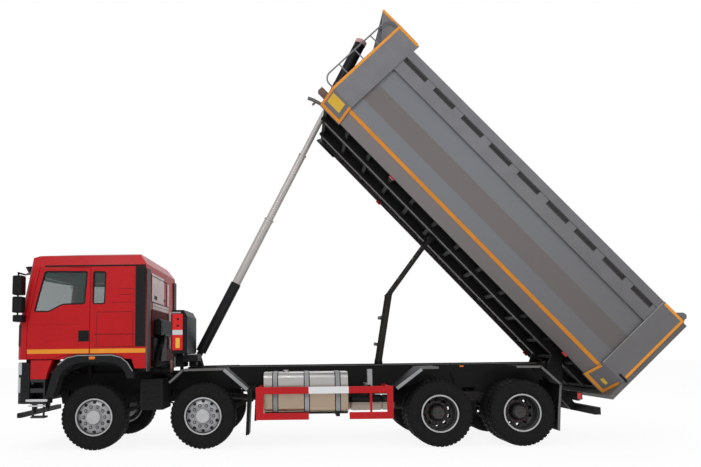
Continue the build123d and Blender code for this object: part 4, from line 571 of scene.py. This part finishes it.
# Sections as (Y, radius); nuts as (Y, ring radius, count, size, phase).
FRONT_NUTS, NUT_RING_R, WASHER_R, WASHER_Y = 10, 0.174, 0.0285, 1.1098
FRONT_WHEEL = {"tyres": (1.011,), "nut_look": "wheel",
               "nuts": ((1.110, NUT_RING_R, FRONT_NUTS, 0.0125, 0.0),),
               "band": ((1.1305, 0.308), (1.1345, 0.305), (1.1345, 0.287), (1.1305, 0.284))}
REAR_WHEEL = {"tyres": (0.747, 1.083), "nut_look": "brown",
              "nuts": ((0.941, 0.1675, 10, 0.017, 0.5), (1.087, 0.078, 8, 0.009, 0.5)),
              "band": ((1.203, 0.309), (1.207, 0.306), (1.207, 0.286), (1.203, 0.283))}
HUB_CAP = ((1.121, 0.119), (1.163, 0.113), (1.169, 0.105), (1.169, 0.001))
SHADOW_RINGS = ((1.0875, 1.0895, 0.281, 0.268), (1.064, 1.066, 0.262, 0.206))
HOLE_RING_R, HOLE_R = 0.242, 0.029
DISC_FLAT_R, DISC_Y = 0.204, 1.110  # beyond this radius the front wheel's disc slopes inwards
DISC_SLOPE = math.atan2(0.022, 0.058)
DISC_STEPS = 24


def hole_painted_shade(bm, angle, sign):
    """Painted shade in the mouth of a hand hole: a dark disc laid on the front wheel's sloping disc."""
    out = Vector((math.cos(angle), 0, math.sin(angle)))
    along = out * math.cos(DISC_SLOPE) - Vector((0, sign * math.sin(DISC_SLOPE), 0))
    across = Vector((-math.sin(angle), 0, math.cos(angle)))
    depth = (HOLE_RING_R - DISC_FLAT_R) * math.tan(DISC_SLOPE)
    middle = out * HOLE_RING_R + Vector((0, sign * (DISC_Y - depth), 0))
    bm.faces.new([bm.verts.new(middle + along * HOLE_R * math.cos(a) + across * HOLE_R * math.sin(a))
                  for a in around(DISC_STEPS)])


def washer(bm, angle, sign):
    """A dark disc under a wheel nut."""
    centre = (NUT_RING_R * math.cos(angle), 0, NUT_RING_R * math.sin(angle))
    bm.faces.new(wheel_loop(bm, sign * WASHER_Y, WASHER_R, DISC_STEPS, centre))


for axle_name, axle_x in AXLES.items():
    steered = axle_name in STEERED
    wheel = FRONT_WHEEL if steered else REAR_WHEEL
    for side_name, sign in SIDES.items():
        corner = f"{axle_name}_{side_name}"
        body = f"wheel_{corner}_body"
        at = truck(axle_x, 0, TYRE_R)
        bm = tyre_mesh([sign * middle for middle in wheel["tyres"]])
        shift(bm, at)
        tread = add_mesh(f"tread_{corner}", bm, "rubber", body)
        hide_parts(f"tyre_{corner}")
        bm = bmesh.new()
        for nuts in wheel["nuts"]:
            nut_ring(bm, *nuts, sign)
        shift(bm, at)
        add_mesh(f"nuts_{corner}", bm, wheel["nut_look"], body, bevel=0.001)
        bm = bmesh.new()
        closed_ring(bm, wheel["band"], sign)
        shift(bm, at)
        add_mesh(f"rim_band_{corner}", bm, "rim", body)
        if steered:
            bm = bmesh.new()
            lathe(bm, [(sign * y, r) for y, r in HUB_CAP], (0, 0, 0), "Y")
            shift(bm, at)
            add_mesh(f"hub_cap_{corner}", bm, "rim", body, bevel=0.002)
            bm = bmesh.new()
            for low, high, outer, inner in SHADOW_RINGS:
                closed_ring(bm, ((low, outer), (high, outer), (high, inner), (low, inner)), sign)
            for k in range(FRONT_NUTS):
                hole_painted_shade(bm, 2 * math.pi * (k + 0.5) / FRONT_NUTS, sign)
                washer(bm, 2 * math.pi * k / FRONT_NUTS, sign)
            shift(bm, at)
            add_mesh(f"wheel_shadow_{corner}", bm, "hub", body)

# ------------------------ bed trim
BED_FRONT, BED_REAR, BED_FACE = -6.065, 0.826, 1.25
POST_F, POST_R = 0.488, 0.45  # lengths of the front and the rear post
TOP_F, TOP_R, FOLD = 1.862, 1.712, 0.2514  # heights of the posts' tops and of the fold
FOOT_EDGE = (0.94, -0.026)  # Y and Z of the folded foot's lower edge
CREASE, SILL_EDGE = (1.197, 0.23), (0.94, 0.0)
TAPE, TAPE_T = 0.045, 0.0025  # the tape's width and thickness
SUNK = 0.0005  # by how much flat details reach into the face they lie on


def tape(bm, start, end, sign, side=1):
    """A straight piece of tape on the posts' outer face."""
    slab(bm, strip(start, end, TAPE, side), sign * (BED_FACE - SUNK), sign * (BED_FACE + TAPE_T), bed)


def on_fold(start, end, sign):
    """Placing function for a folded face (x along the bed, y off the face, z down it), and its width."""
    dy, dz = end[0] - start[0], end[1] - start[1]
    length = math.hypot(dy, dz)
    dy, dz = dy / length, dz / length

    def place(x, off, down):
        return bed(x, sign * (start[0] + dy * down - dz * off), start[1] + dz * down + dy * off)
    return place, length


def on_bed_side(sign):
    """Placing function for the bed's outer face: x, distance off the face and z."""
    return lambda x, off, z: bed(x, sign * (BED_FACE + off), z)


def patch(bm, x_low, x_high, d_low, d_high, place, lift=TAPE_T):
    """A thin rectangle on a folded face."""
    slab(bm, [(x_low, d_low), (x_high, d_low), (x_high, d_high), (x_low, d_high)], -SUNK, lift, place)


# Where the tape starts and ends on the front post and on the rear one.
F0, F1 = BED_FRONT + 0.004, BED_FRONT + POST_F - 0.004
R0, R1 = BED_REAR - POST_R + 0.004, BED_REAR - 0.004
for side_name, sign in SIDES.items():
    foot, foot_width = on_fold((BED_FACE, FOLD), FOOT_EDGE, sign)
    sill, _ = on_fold(CREASE, SILL_EDGE, sign)
    foot_end = foot_width - 0.01
    bm = bmesh.new()
    front_top, rear_top = TOP_F - 0.006, TOP_R - 0.004
    tape(bm, (F0, FOLD), (F0, front_top), sign, -1)
    tape(bm, (F0 + TAPE, front_top - 0.003), (F1, front_top - 0.011), sign, -1)
    tape(bm, (R1, 0.34), (R1, rear_top), sign)
    tape(bm, (R0 + 0.02, rear_top), (R1 - TAPE, rear_top), sign, -1)
    for left, right, left_top, right_top in ((F0, F1, 0.0, 0.03), (R0, R1, 0.06, 0.06)):
        patch(bm, left, left + TAPE, left_top, foot_end, foot)
        patch(bm, right - TAPE, right, right_top, foot_end, foot)
        patch(bm, left + TAPE, right - TAPE, foot_end - 0.06, foot_end, foot)
    patch(bm, -5.575, 0.374, 0.006, 0.076, sill)
    add_mesh(f"bed_tape_{side_name}", bm, "orange", "bed")
    bm = bmesh.new()
    patch(bm, -5.99, -5.70, 0.06, 0.26, foot, 0.004)
    patch(bm, 0.60, 0.72, 0.2, 0.26, foot, 0.003)
    add_mesh(f"bed_plate_{side_name}", bm, "yellow", "bed")

# ------------------------ cab details
CAB_Y, CAB_BACK = 1.240, 0.882
LEAN_FROM, LEAN = 2.25, 0.03  # above this height the cab's side leans in by so much
DOOR_WINDOW = ((-0.990, 2.285), (-0.830, 2.975), (-0.105, 2.965), (-0.140, 2.405), (-0.515, 2.400),
               (-0.740, 2.282))
REAR_WINDOW = ((-0.022, 2.405), (-0.022, 2.965), (0.205, 2.955), (0.190, 2.402))
SEAL_WIDTH, SEAL_LOW, SEAL_HIGH = 0.022, -0.021, -0.004
STRIPE_LOW, STRIPE_HIGH, STRIPE_T = 1.596, 1.668, 0.002
HATCH_LINES = (  # low and high X, low and high Z
    (0.055, 0.66, 2.268, 2.278), (0.055, 0.064, 1.73, 2.278), (0.65, 0.66, 1.73, 2.278),
    (0.02, 0.69, 1.900, 1.912), (0.02, 0.69, 1.694, 1.704), (0.30, 0.69, 2.43, 2.437),
    (0.42, 0.69, 2.56, 2.567), (0.42, 0.69, 2.66, 2.667))
DOOR_SWEEP = ((-1.034, 1.705), (-0.674, 1.818), (-0.296, 1.868), (-0.25, 1.868), (-0.25, 1.86),
              (-0.296, 1.86), (-0.674, 1.81), (-1.034, 1.697))
LAMPS = ((1.255, 1.445, (22, 98)), (0.965, 1.21, (30, 98)))  # low Z, high Z and the angles they span
ARCH_FACE = 1.246
ARCH_TOP = [(-0.56, 1.43), (-0.43, 1.53), (-0.25, 1.57), (0.32, 1.57), (0.47, 1.53), (0.58, 1.44),
            (0.668, 1.30)]
ARCH_HIGHLIGHT = [(-0.575, 1.412)] + ARCH_TOP
ARCH_LINER = [(-0.655, 1.29)] + ARCH_TOP + [
    (0.69, 1.18), (0.565, 1.18), (0.46, 1.34), (0.25, 1.405), (-0.20, 1.405), (-0.45, 1.31), (-0.53, 1.23)]


def on_side(sign):
    """Placing function for the cab's side: x, distance off the panel and z."""
    return lambda x, off, z: truck(x, sign * (CAB_Y - LEAN * max(0.0, z - LEAN_FROM) + off), z)


def corners(points):
    """Each point of an outline with the one before it and the one after it."""
    return zip(points[-1:] + points[:-1], points, points[1:] + points[:1])


def softened(points, corner=0.045):
    """The outline with each corner rounded by short chords."""
    soft = []
    for before, here, after in corners(points):
        ends = []
        for other in (before, after):
            length = math.dist(other, here)
            ends.append([h + (o - h) * corner / length for h, o in zip(here, other)])
        for t in (0, 0.25, 0.5, 0.75, 1):
            soft.append(tuple((1 - t) ** 2 * a + 2 * t * (1 - t) * h + t * t * b
                              for a, h, b in zip(ends[0], here, ends[1])))
    return soft


def inset(points, depth):
    """The outline moved inwards by a depth."""
    turn_sum = sum(a[0] * b[1] - b[0] * a[1] for a, b in zip(points, points[1:] + points[:1]))
    side = 1 if turn_sum > 0 else -1
    moved = []
    for before, here, after in corners(points):
        normals = []
        for a, b in ((before, here), (here, after)):
            length = math.dist(a, b)
            normals.append((-(b[1] - a[1]) / length * side, (b[0] - a[0]) / length * side))
        (ax, az), (bx, bz) = normals
        scale = depth / (1 + ax * bx + az * bz)
        moved.append((here[0] + (ax + bx) * scale, here[1] + (az + bz) * scale))
    return moved


def seal(name, outline, body, place):
    """A rubber frame inside a window opening."""
    bm = bmesh.new()
    outer = softened(list(outline))
    inner = inset(outer, SEAL_WIDTH)
    sections = ((outer, SEAL_LOW), (outer, SEAL_HIGH), (inner, SEAL_HIGH), (inner, SEAL_LOW))
    skin(bm, [[bm.verts.new(place(x, off, z)) for x, z in ring] for ring, off in sections], closed=True)
    add_mesh(name, bm, "plastic", body)


def on_back(y_low, z_low, y_high, z_high, thick):
    """Corners of a box on the cab's rear wall."""
    return (CAB_BACK - 0.001, y_low, z_low), (CAB_BACK + thick, y_high, z_high)


def corner_patch(bm, centre, radius, angles, z_low, z_high, sign, thick=0.008):
    """An upright patch round a front corner; angles run from the side to the front in degrees."""
    steps = 10
    outline = []
    for r, order in ((radius + thick, range(steps + 1)), (radius - 0.004, range(steps, -1, -1))):
        for i in order:
            a = math.radians(angles[0] + (angles[1] - angles[0]) * i / steps)
            outline.append((centre[0] - r * math.sin(a), centre[1] + r * math.cos(a)))
    solid(bm, [[bm.verts.new(truck(x, sign * y, z)) for x, y in outline] for z in (z_low, z_high)])


for side_name, sign in SIDES.items():
    side, door_body = on_side(sign), f"door_{side_name}_body"
    for name, low_x, high_x, body in (
            ("door_stripe", -1.083, -0.066, door_body), ("cab_stripe", -0.045, 0.868, "cab")):
        piece(f"{name}_{side_name}", [((low_x, -SUNK, STRIPE_LOW), (high_x, STRIPE_T, STRIPE_HIGH))],
              "orange", body, side)
    piece(f"door_handle_{side_name}",
          [((-0.242, -SUNK, 1.79), (-0.066, 0.003, 1.973)), ((-0.225, 0.003, 1.86), (-0.085, 0.022, 1.9))],
          "trim", door_body, side, bevel=0.008)
    piece(f"door_creases_{side_name}", [((-1.08, -0.001, 2.079), (-0.07, 0.004, 2.09))],
          "cab", door_body, side, bevel=0.002)
    piece(f"gutter_{side_name}", [((-0.826, -0.002, 3.040), (0.853, 0.006, 3.066))],
          "trim", "cab", side, bevel=0.003)
    lines = [((x_0, -SUNK, z_0), (x_1, 0.0012, z_1)) for x_0, x_1, z_0, z_1 in HATCH_LINES]
    piece(f"hatch_lines_{side_name}", lines, "seam", "cab", side)
    seal(f"door_seal_{side_name}", DOOR_WINDOW, door_body, side)
    seal(f"window_seal_{side_name}", REAR_WINDOW, "cab", side)
    prisms(f"door_sweep_{side_name}", [(DOOR_SWEEP, -0.001, 0.003)], "cab", door_body, side)
    bm = bmesh.new()
    corner_patch(bm, (-1.125, 1.09), 0.15, (30, 62), 1.72, 2.08, sign, 0.003)
    add_mesh(f"corner_vent_{side_name}", bm, "trim", "cab")
    bm = bmesh.new()
    for z_low, z_high, angles in LAMPS:
        corner_patch(bm, (-1.10, 1.072), 0.17, angles, z_low, z_high, sign)
    add_mesh(f"headlamp_{side_name}", bm, "lamp_clear", "chassis", bevel=0.004)
    lamp = (-0.056, sign * ARCH_FACE, 1.497), (0.044, sign * (ARCH_FACE + 0.012), 1.54)
    piece(f"arch_lamp_{side_name}", [lamp], "lamp_amber", "chassis", bevel=0.003)
    # Painted highlight: a pale strip along the top edge of the wheel arch.
    near, far = sign * (ARCH_FACE + SUNK), sign * (ARCH_FACE + 0.0025)
    edge_strips = [(strip(*run, 0.016, -1), near, far) for run in zip(ARCH_HIGHLIGHT, ARCH_HIGHLIGHT[1:])]
    prisms(f"arch_highlight_{side_name}", edge_strips, "grey_trim_and_highlight", "chassis")
    prisms(f"arch_liner_{side_name}", [(inset(ARCH_LINER, -0.012), sign * 0.975, sign * 1.003)],
           "trim", "chassis")
    treads = [((-1.085, 1.205 * sign, 0.815), (-0.735, 1.243 * sign, 0.855)),
              ((-1.04, 1.205 * sign, 0.733), (-0.765, 1.236 * sign, 0.757))]
    piece(f"step_treads_{side_name}", treads, "white", "chassis", bevel=0.004)
    piece(f"deflector_{side_name}", [on_back(1.03 * sign, 1.285, 1.236 * sign, 3.0, 0.016)],
          "deflector", "cab", bevel=0.004)

piece("rear_wall_shaded", [on_back(-0.88, 1.36, 0.98, 2.33, 0.003)], "dark_red", "cab")
PALE_PANELS = ((-0.86, 2.47, 0.09, 2.96), (-0.80, 2.345, 0.5, 2.45), (0.39, 2.47, 0.55, 2.9))
WALL_MARKS = ((-0.86, 2.905, 0.38, 2.92, 0.006), (-0.70, 2.52, -0.49, 2.585, 0.007),
              (0.06, 2.535, 0.2, 2.58, 0.007), (-0.86, 2.455, 0.5, 2.465, 0.006),
              (-0.80, 2.395, 0.5, 2.402, 0.006))
piece("rear_wall_pale", [on_back(*panel, 0.004) for panel in PALE_PANELS], "pale", "cab")
piece("rear_wall_marks", [on_back(*mark) for mark in WALL_MARKS], "trim", "cab")
piece("air_intake", [on_back(-0.70, 1.89, 0.30, 2.18, 0.12)], "plastic", "cab", bevel=0.03)
piece("rear_wall_hoses", [on_back(-0.86, 1.42, 0.2, 1.86, 0.04)], "plastic", "cab",
      bevel=0.02)
for name, off, radius, look, run in (  # runs are pairs of Y and Z
        ("rear_wall_pipe", 0.03, 0.022, "pale", ((0.5, 2.36), (0.5, 2.2), (0.5, 1.9), (0.5, 1.66))),
        ("intake_hose", 0.07, 0.06, "trim", ((-0.35, 1.92), (-0.4, 1.75), (-0.62, 1.6), (-0.7, 1.42)))):
    tube(name, [truck(CAB_BACK + off, y, z) for y, z in run], radius, look, "cab")

# ------------------------ oil tank, frame and fuel tank details
OIL_TANK_Y = -1.130  # the oil tank's outer face


def on_tank(x_low, z_low, x_high, z_high, proud, sunk=0.0):
    """Corners of a box on the oil tank's outer face."""
    return (x_low, OIL_TANK_Y - proud, z_low), (x_high, OIL_TANK_Y + sunk, z_high)


for name, boxes, look, bevel in (
        ("sign", [on_tank(1.29, 1.63, 1.46, 2.235, 0.004, SUNK)], "sign_red", 0.002),
        ("band", [on_tank(1.29, 1.885, 1.46, 1.965, 0.006)], "white", 0.0),
        ("label", [on_tank(1.344, 1.665, 1.412, 1.833, 0.006)], "yellow", 0.0),
        ("bolts", [on_tank(1.36, z, 1.40, z + 0.035, 0.008) for z in (2.02, 2.13)], "trim", 0.006),
        ("rim", [on_tank(1.278, 2.245, 1.43, 2.268, 0.003)], "grey_trim_and_highlight", 0.0)):
    piece(f"oil_tank_{name}", boxes, look, "chassis", bevel=bevel)


def on_frame(name, boxes, look="frame", bevel=0.0):
    """Boxes on the frame, in its own paint or another."""
    piece(name, boxes, look, "chassis", bevel=bevel)


on_frame("valve_box", [((1.44, -1.0, 1.43), (1.69, -0.6, 1.565))], bevel=0.012)
on_frame("valve_box_edge", [((1.445, -1.002, 1.548), (1.685, -0.99, 1.567))], "grey_trim_and_highlight")
on_frame("valve_blocks", [
    ((1.285, -0.85, 1.345), (1.45, -0.5, 1.572)), ((1.5, -0.75, 1.345), (1.62, -0.5, 1.44)),
    ((0.79, -0.8, 1.24), (0.94, -0.5, 1.332))], bevel=0.02)

# Lathed profiles as (length, radius).
CLEANER_LID = ((1.30, 0.02), (1.36, 0.160), (1.395, 0.170), (1.41, 0.170), (1.42, 0.150), (1.448, 0.135),
               (1.452, 0.001))
BROWN_PIPE = ((1.26, 0.026), (1.40, 0.026), (1.44, 0.034), (1.47, 0.02))
TANK_ENDS = [[(low, 0.09), (low + 0.02, 0.132), (high - 0.02, 0.132), (high, 0.09)]
             for low, high in ((4.225, 4.27), (4.80, 5.02))]
turned("air_cleaner_lid", [CLEANER_LID], truck(1.062, -0.87, 0), "plastic")
turned("brown_pipe", [BROWN_PIPE], truck(1.252, -0.98, 0), "brown", steps=20, smooth=True)

GUARD_FACE = 1.2345  # just inside the mudguards' outer edge
GUARD_FLANGES = (((2.181, 1.32), (2.562, 0.99)), ((4.978, 0.985), (5.395, 1.295)))
GUARD_LIPS = (((5.395, 1.306), (5.69, 1.31)), ((6.97, 1.31), (7.379, 1.306)), ((7.379, 1.306), (7.70, 1.006)),
              ((7.70, 1.0), (7.655, 0.6)), ((7.655, 0.6), (7.63, 0.25)), ((1.25, 1.11), (1.478, 1.318)),
              ((1.478, 1.318), (2.181, 1.326)))
for side_name, sign in SIDES.items():
    # Painted highlight: a grey strip along the top edge of the black frame.
    on_frame(f"frame_edge_highlight_{side_name}", [((1.95, 0.431 * sign, 1.326), (7.6, 0.436 * sign, 1.336))], "edge")
    for name, runs, width, thick, look in (
            ("flange", GUARD_FLANGES, 0.055, 0.003, "grey_trim_and_highlight"), ("edge_strips", GUARD_LIPS, 0.035, 0.002, "edge")):
        prisms(f"guard_{name}_{side_name}",
               [(strip(a, b, width, -1), sign * GUARD_FACE, sign * (GUARD_FACE + thick)) for a, b in runs],
               look, "chassis")
    strut = [((4.52, 0.5 * sign, 0.99), (4.575, 1.2 * sign, 1.03)),
             ((4.52, 1.12 * sign, 0.99), (4.60, 1.2 * sign, 1.28))]
    piece(f"guard_strut_{side_name}", strut, "grey_trim_and_highlight", "chassis", bevel=0.004)

turned("air_tank_ends", TANK_ENDS, truck(0, -0.70, 0.70), "silver", "X", smooth=True)
on_frame("valve_panel", [
    ((4.28, -0.56, 0.83), (5.0, -0.53, 0.96)), ((2.40, -0.62, 0.90), (2.66, -0.45, 1.0))], bevel=0.006)
MUD_FLAP = ((2.545, 0.96), (2.60, 0.96), (2.565, 0.235), (2.51, 0.235))
prisms("mud_flaps", [(MUD_FLAP, -1.2, -0.87), (MUD_FLAP, 0.87, 1.2)], "plastic", "chassis",
       bevel=0.004)
on_frame("bogie_plates", [
    ((7.55, -0.66, 0.88), (7.69, -0.62, 1.05)), ((7.93, -0.7, 0.77), (8.02, -0.6, 0.87)),
    ((6.5, -0.46, 0.80), (6.8, -0.44, 0.96))], bevel=0.006)
piece("rear_lamps_left", [((7.975, -1.165, 0.75), (8.045, -1.155, 0.85))], "lamp_red", "chassis",
      bevel=0.003)
on_frame("side_marker", [((6.24, -0.45, 1.275), (6.31, -0.43, 1.305))], "lamp_amber", 0.003)

TANK_LOW, TANK_HIGH = (2.809, -1.150, 0.557), (4.202, -0.480, 1.240)
TANK_R, HOOP_STEPS = 0.110, 8  # radius of the corners, and steps round each
STRAPS = (2.998, 3.520, 4.032)  # X of each strap's middle


def tank_hoop(bm, x, width, lift):
    """A strap over the fuel tank's top, near face and bottom corner."""
    outline = []
    middle_y = TANK_LOW[1] + TANK_R
    for cz, start in ((TANK_LOW[2] + TANK_R, 270), (TANK_HIGH[2] - TANK_R, 180)):
        for i in range(HOOP_STEPS + 1):
            a = math.radians(start - 90 * i / HOOP_STEPS)
            outline.append((middle_y, cz, math.cos(a), math.sin(a)))
    outline.append((TANK_HIGH[1] - TANK_R, TANK_HIGH[2] - TANK_R, 0.0, 1.0))
    x_low, x_high = x - width / 2, x + width / 2
    section = ((x_low, TANK_R), (x_low, TANK_R + lift), (x_high, TANK_R + lift), (x_high, TANK_R))
    solid(bm, [[bm.verts.new(truck(at_x, cy + r * c, cz + r * s)) for at_x, r in section]
               for cy, cz, c, s in outline])


for name, look, width, lift in (
        ("strap_rubber", "trim", 0.098, 0.0055), ("strap_band", "band", 0.07, 0.0075)):
    bm = bmesh.new()
    for x in STRAPS:
        tank_hoop(bm, x, width, lift)
    add_mesh(f"fuel_tank_{name}", bm, look, "chassis")
piece("fuel_tank_base", [((2.82, -1.153, 0.56), (4.19, -1.149, 0.6))], "trim", "chassis")

# ------------------------ hoist head and bed fittings
COVER_TOP = (HOIST_HEAD - hoist(0, 0, 0)).length + 1.03
CAP_RING = ((-0.075, 0.107), (-0.072, 0.112), (0.003, 0.112), (0.006, 0.1), (0.006, 0.001))
HEAD_ELBOW = ((-6.31, -0.083), (-6.27, -0.06), (-6.2, -0.03), (-6.1, 0.0), (-6.0, 0.03))
CANOPY_EDGE = strip((-6.546, 1.997), (-6.12, 2.002), TAPE, -1)
bm = bmesh.new()
lathe(bm, [(COVER_TOP + along, radius) for along, radius in CAP_RING], (0, 0, 0), "Z", place=hoist)
add_mesh("hoist_cap_ring", bm, "cap", "hoist_cover_body")
tube("head_elbow", [bed(x, -0.9, z) for x, z in HEAD_ELBOW], 0.03, "edge", "bed")
piece("head_bracket", [((-6.27, -0.98, 0.12), (-6.06, -0.84, 0.22)),
                       ((-6.18, -0.93, -0.112), (-6.15, -0.87, -0.02))],
      "brown", "bed", bed, bevel=0.01)
prisms("canopy_tape", [(CANOPY_EDGE, -0.966, -0.9605), (CANOPY_EDGE, 0.9605, 0.966)], "orange", "bed",
       bed)

RAIL_POCKETS = ((-5.570, -5.041), (-4.847, -4.376), (-4.170, -3.690), (-3.500, -3.010), (-2.830, -2.340),
                (-2.137, -1.658), (-1.483, -1.018), (-0.822, -0.345), (-0.162, 0.279))
POCKET_TOP, POCKET_LOW = (1.1975, 1.546), (1.2322, 1.464)  # Y and Z of the shaded floor's edges
bm = bmesh.new()
for sign in SIDES.values():
    for x_low, x_high in RAIL_POCKETS:
        left, right = x_low + 0.004, x_high - 0.004
        corners = ((left, *POCKET_TOP), (right, *POCKET_TOP), (right, *POCKET_LOW), (left, *POCKET_LOW))
        bm.faces.new([bm.verts.new(bed(x, sign * y, z)) for x, y, z in corners])
add_mesh("pocket_shadow", bm, "pocket", "bed")

for side_name, sign in SIDES.items():
    face = on_bed_side(sign)
    post_edge = (BED_REAR - POST_R - 0.012, 0.0, FOLD), (BED_REAR - POST_R, 0.0015, TOP_R - 0.02)
    piece(f"bed_post_edge_{side_name}", [post_edge], "grey_trim_and_highlight", "bed", face)
    piece(f"bed_latch_{side_name}", [((0.69, 0.0, 0.29), (0.86, 0.016, 0.325))],
          "hub", "bed", face, bevel=0.004)
    markers = [((x - 0.05, 0.90 * sign, -0.03), (x + 0.05, 0.93 * sign, 0.02)) for x in (-4.263, -0.06)]
    piece(f"bed_markers_{side_name}", markers, "lamp_red", "bed", bed, bevel=0.004)
    # Painted highlight: a grey strip along the beam's flange edge under the bed.
    piece(f"beam_flange_highlight_{side_name}", [((-5.9, 0.36 * sign, -0.0335), (0.25, 0.445 * sign, -0.0295))],
          "edge", "bed", bed)

# ------------------------ studio, light and camera
FLOOR_GREY = (0.93, 0.93, 0.93)
WHITE = (1, 1, 1)


def backdrop_material():
    """Pale floor: bright to the camera, with the object's soft shadow kept."""
    n = Nodes("studio_floor")
    n.set(Base_Color=n.mix(n.noise(0.6, 3), shade(FLOOR_GREY, 0.985), FLOOR_GREY), Roughness=0.9)
    light = n.add("LightPath")
    glow = n.add("Emission")
    n.put(glow.inputs["Color"], WHITE)
    n.put(glow.inputs["Strength"], 1.05)
    rays = n.math("MAXIMUM", light.outputs["Is Camera Ray"],
                  n.math("MAXIMUM", light.outputs["Is Glossy Ray"], light.outputs["Is Transmission Ray"]))
    mixer = n.add("MixShader")
    n.put(mixer.inputs[0], n.math("MULTIPLY", rays, 0.85))
    n.put(mixer.inputs[1], n.shader.outputs[0])
    n.put(mixer.inputs[2], glow.outputs[0])
    n.put(n.out.inputs[0], mixer.outputs[0])
    return n.mat


bm = bmesh.new()
bmesh.ops.create_grid(bm, x_segments=8, y_segments=8, size=60)
floor_mesh = bpy.data.meshes.new("floor")
bm.to_mesh(floor_mesh)
bm.free()
floor = bpy.data.objects.new("floor", floor_mesh)
floor.location = (0, 0, -0.001)
floor_mesh.materials.append(backdrop_material())
scene.collection.objects.link(floor)

world = bpy.data.worlds.new("studio")
scene.world = world
world.use_nodes = True
tree = world.node_tree
tree.nodes.clear()


def background(colour, strength):
    """One even background of the world."""
    node = tree.nodes.new("ShaderNodeBackground")
    node.inputs["Color"].default_value = (*colour, 1)
    node.inputs["Strength"].default_value = strength
    return node


out = tree.nodes.new("ShaderNodeOutputWorld")
seen, lit = background(WHITE, 1.0), background((0.93, 0.96, 1.0), 0.6)
light = tree.nodes.new("ShaderNodeLightPath")
either = tree.nodes.new("ShaderNodeMath")
either.operation = "MAXIMUM"
mixer = tree.nodes.new("ShaderNodeMixShader")
for output, socket in (
        (light.outputs["Is Camera Ray"], either.inputs[0]),
        (light.outputs["Is Transmission Ray"], either.inputs[1]),
        (either.outputs[0], mixer.inputs[0]), (lit.outputs[0], mixer.inputs[1]),
        (seen.outputs[0], mixer.inputs[2]), (mixer.outputs[0], out.inputs[0])):
    tree.links.new(output, socket)


def area(name, location, target, size, power, colour=WHITE):
    """A square lamp that looks at a point."""
    data = bpy.data.lights.new(name, "AREA")
    data.size = size
    data.energy = power
    data.color = colour
    obj = bpy.data.objects.new(name, data)
    obj.location = location
    obj.rotation_euler = (Vector(target) - Vector(location)).to_track_quat("-Z", "Y").to_euler()
    scene.collection.objects.link(obj)


area("key", (-6, -14, 13), (0, 0, 2.5), 9, 900)
area("fill", (9, -13, 8), (1, 0, 2.5), 9, 380, (0.96, 0.98, 1))
area("back", (2, 14, 12), (0, 0, 3), 9, 420)

EYE = (3.36348, -11.52207, 1.60169)
PITCH, ROLL = 0.08763, 0.0118  # radians
FOCAL, IMAGE_W, IMAGE_H = 622.01594, 701, 467
MIDDLE = (296.24373, 295.79374)  # the optical axis in pixels
camera_data = bpy.data.cameras.new("camera")
camera = bpy.data.objects.new("camera", camera_data)
scene.collection.objects.link(camera)
scene.camera = camera
ahead = Vector((0, math.cos(PITCH), math.sin(PITCH)))
right_0, up_0 = Vector((1, 0, 0)), Vector((0, -math.sin(PITCH), math.cos(PITCH)))
right = right_0 * math.cos(ROLL) - up_0 * math.sin(ROLL)
up = right_0 * math.sin(ROLL) + up_0 * math.cos(ROLL)
turn = Matrix((right, up, -ahead)).transposed().to_4x4()
camera.matrix_world = Matrix.Translation(truck(*EYE)) @ turn
camera_data.sensor_width = 36
camera_data.lens = FOCAL / IMAGE_W * camera_data.sensor_width
camera_data.shift_x = (IMAGE_W / 2 - MIDDLE[0]) / IMAGE_W
camera_data.shift_y = (MIDDLE[1] - IMAGE_H / 2) / IMAGE_W
camera_data.clip_end = 300
scene.view_settings.view_transform = "Standard"
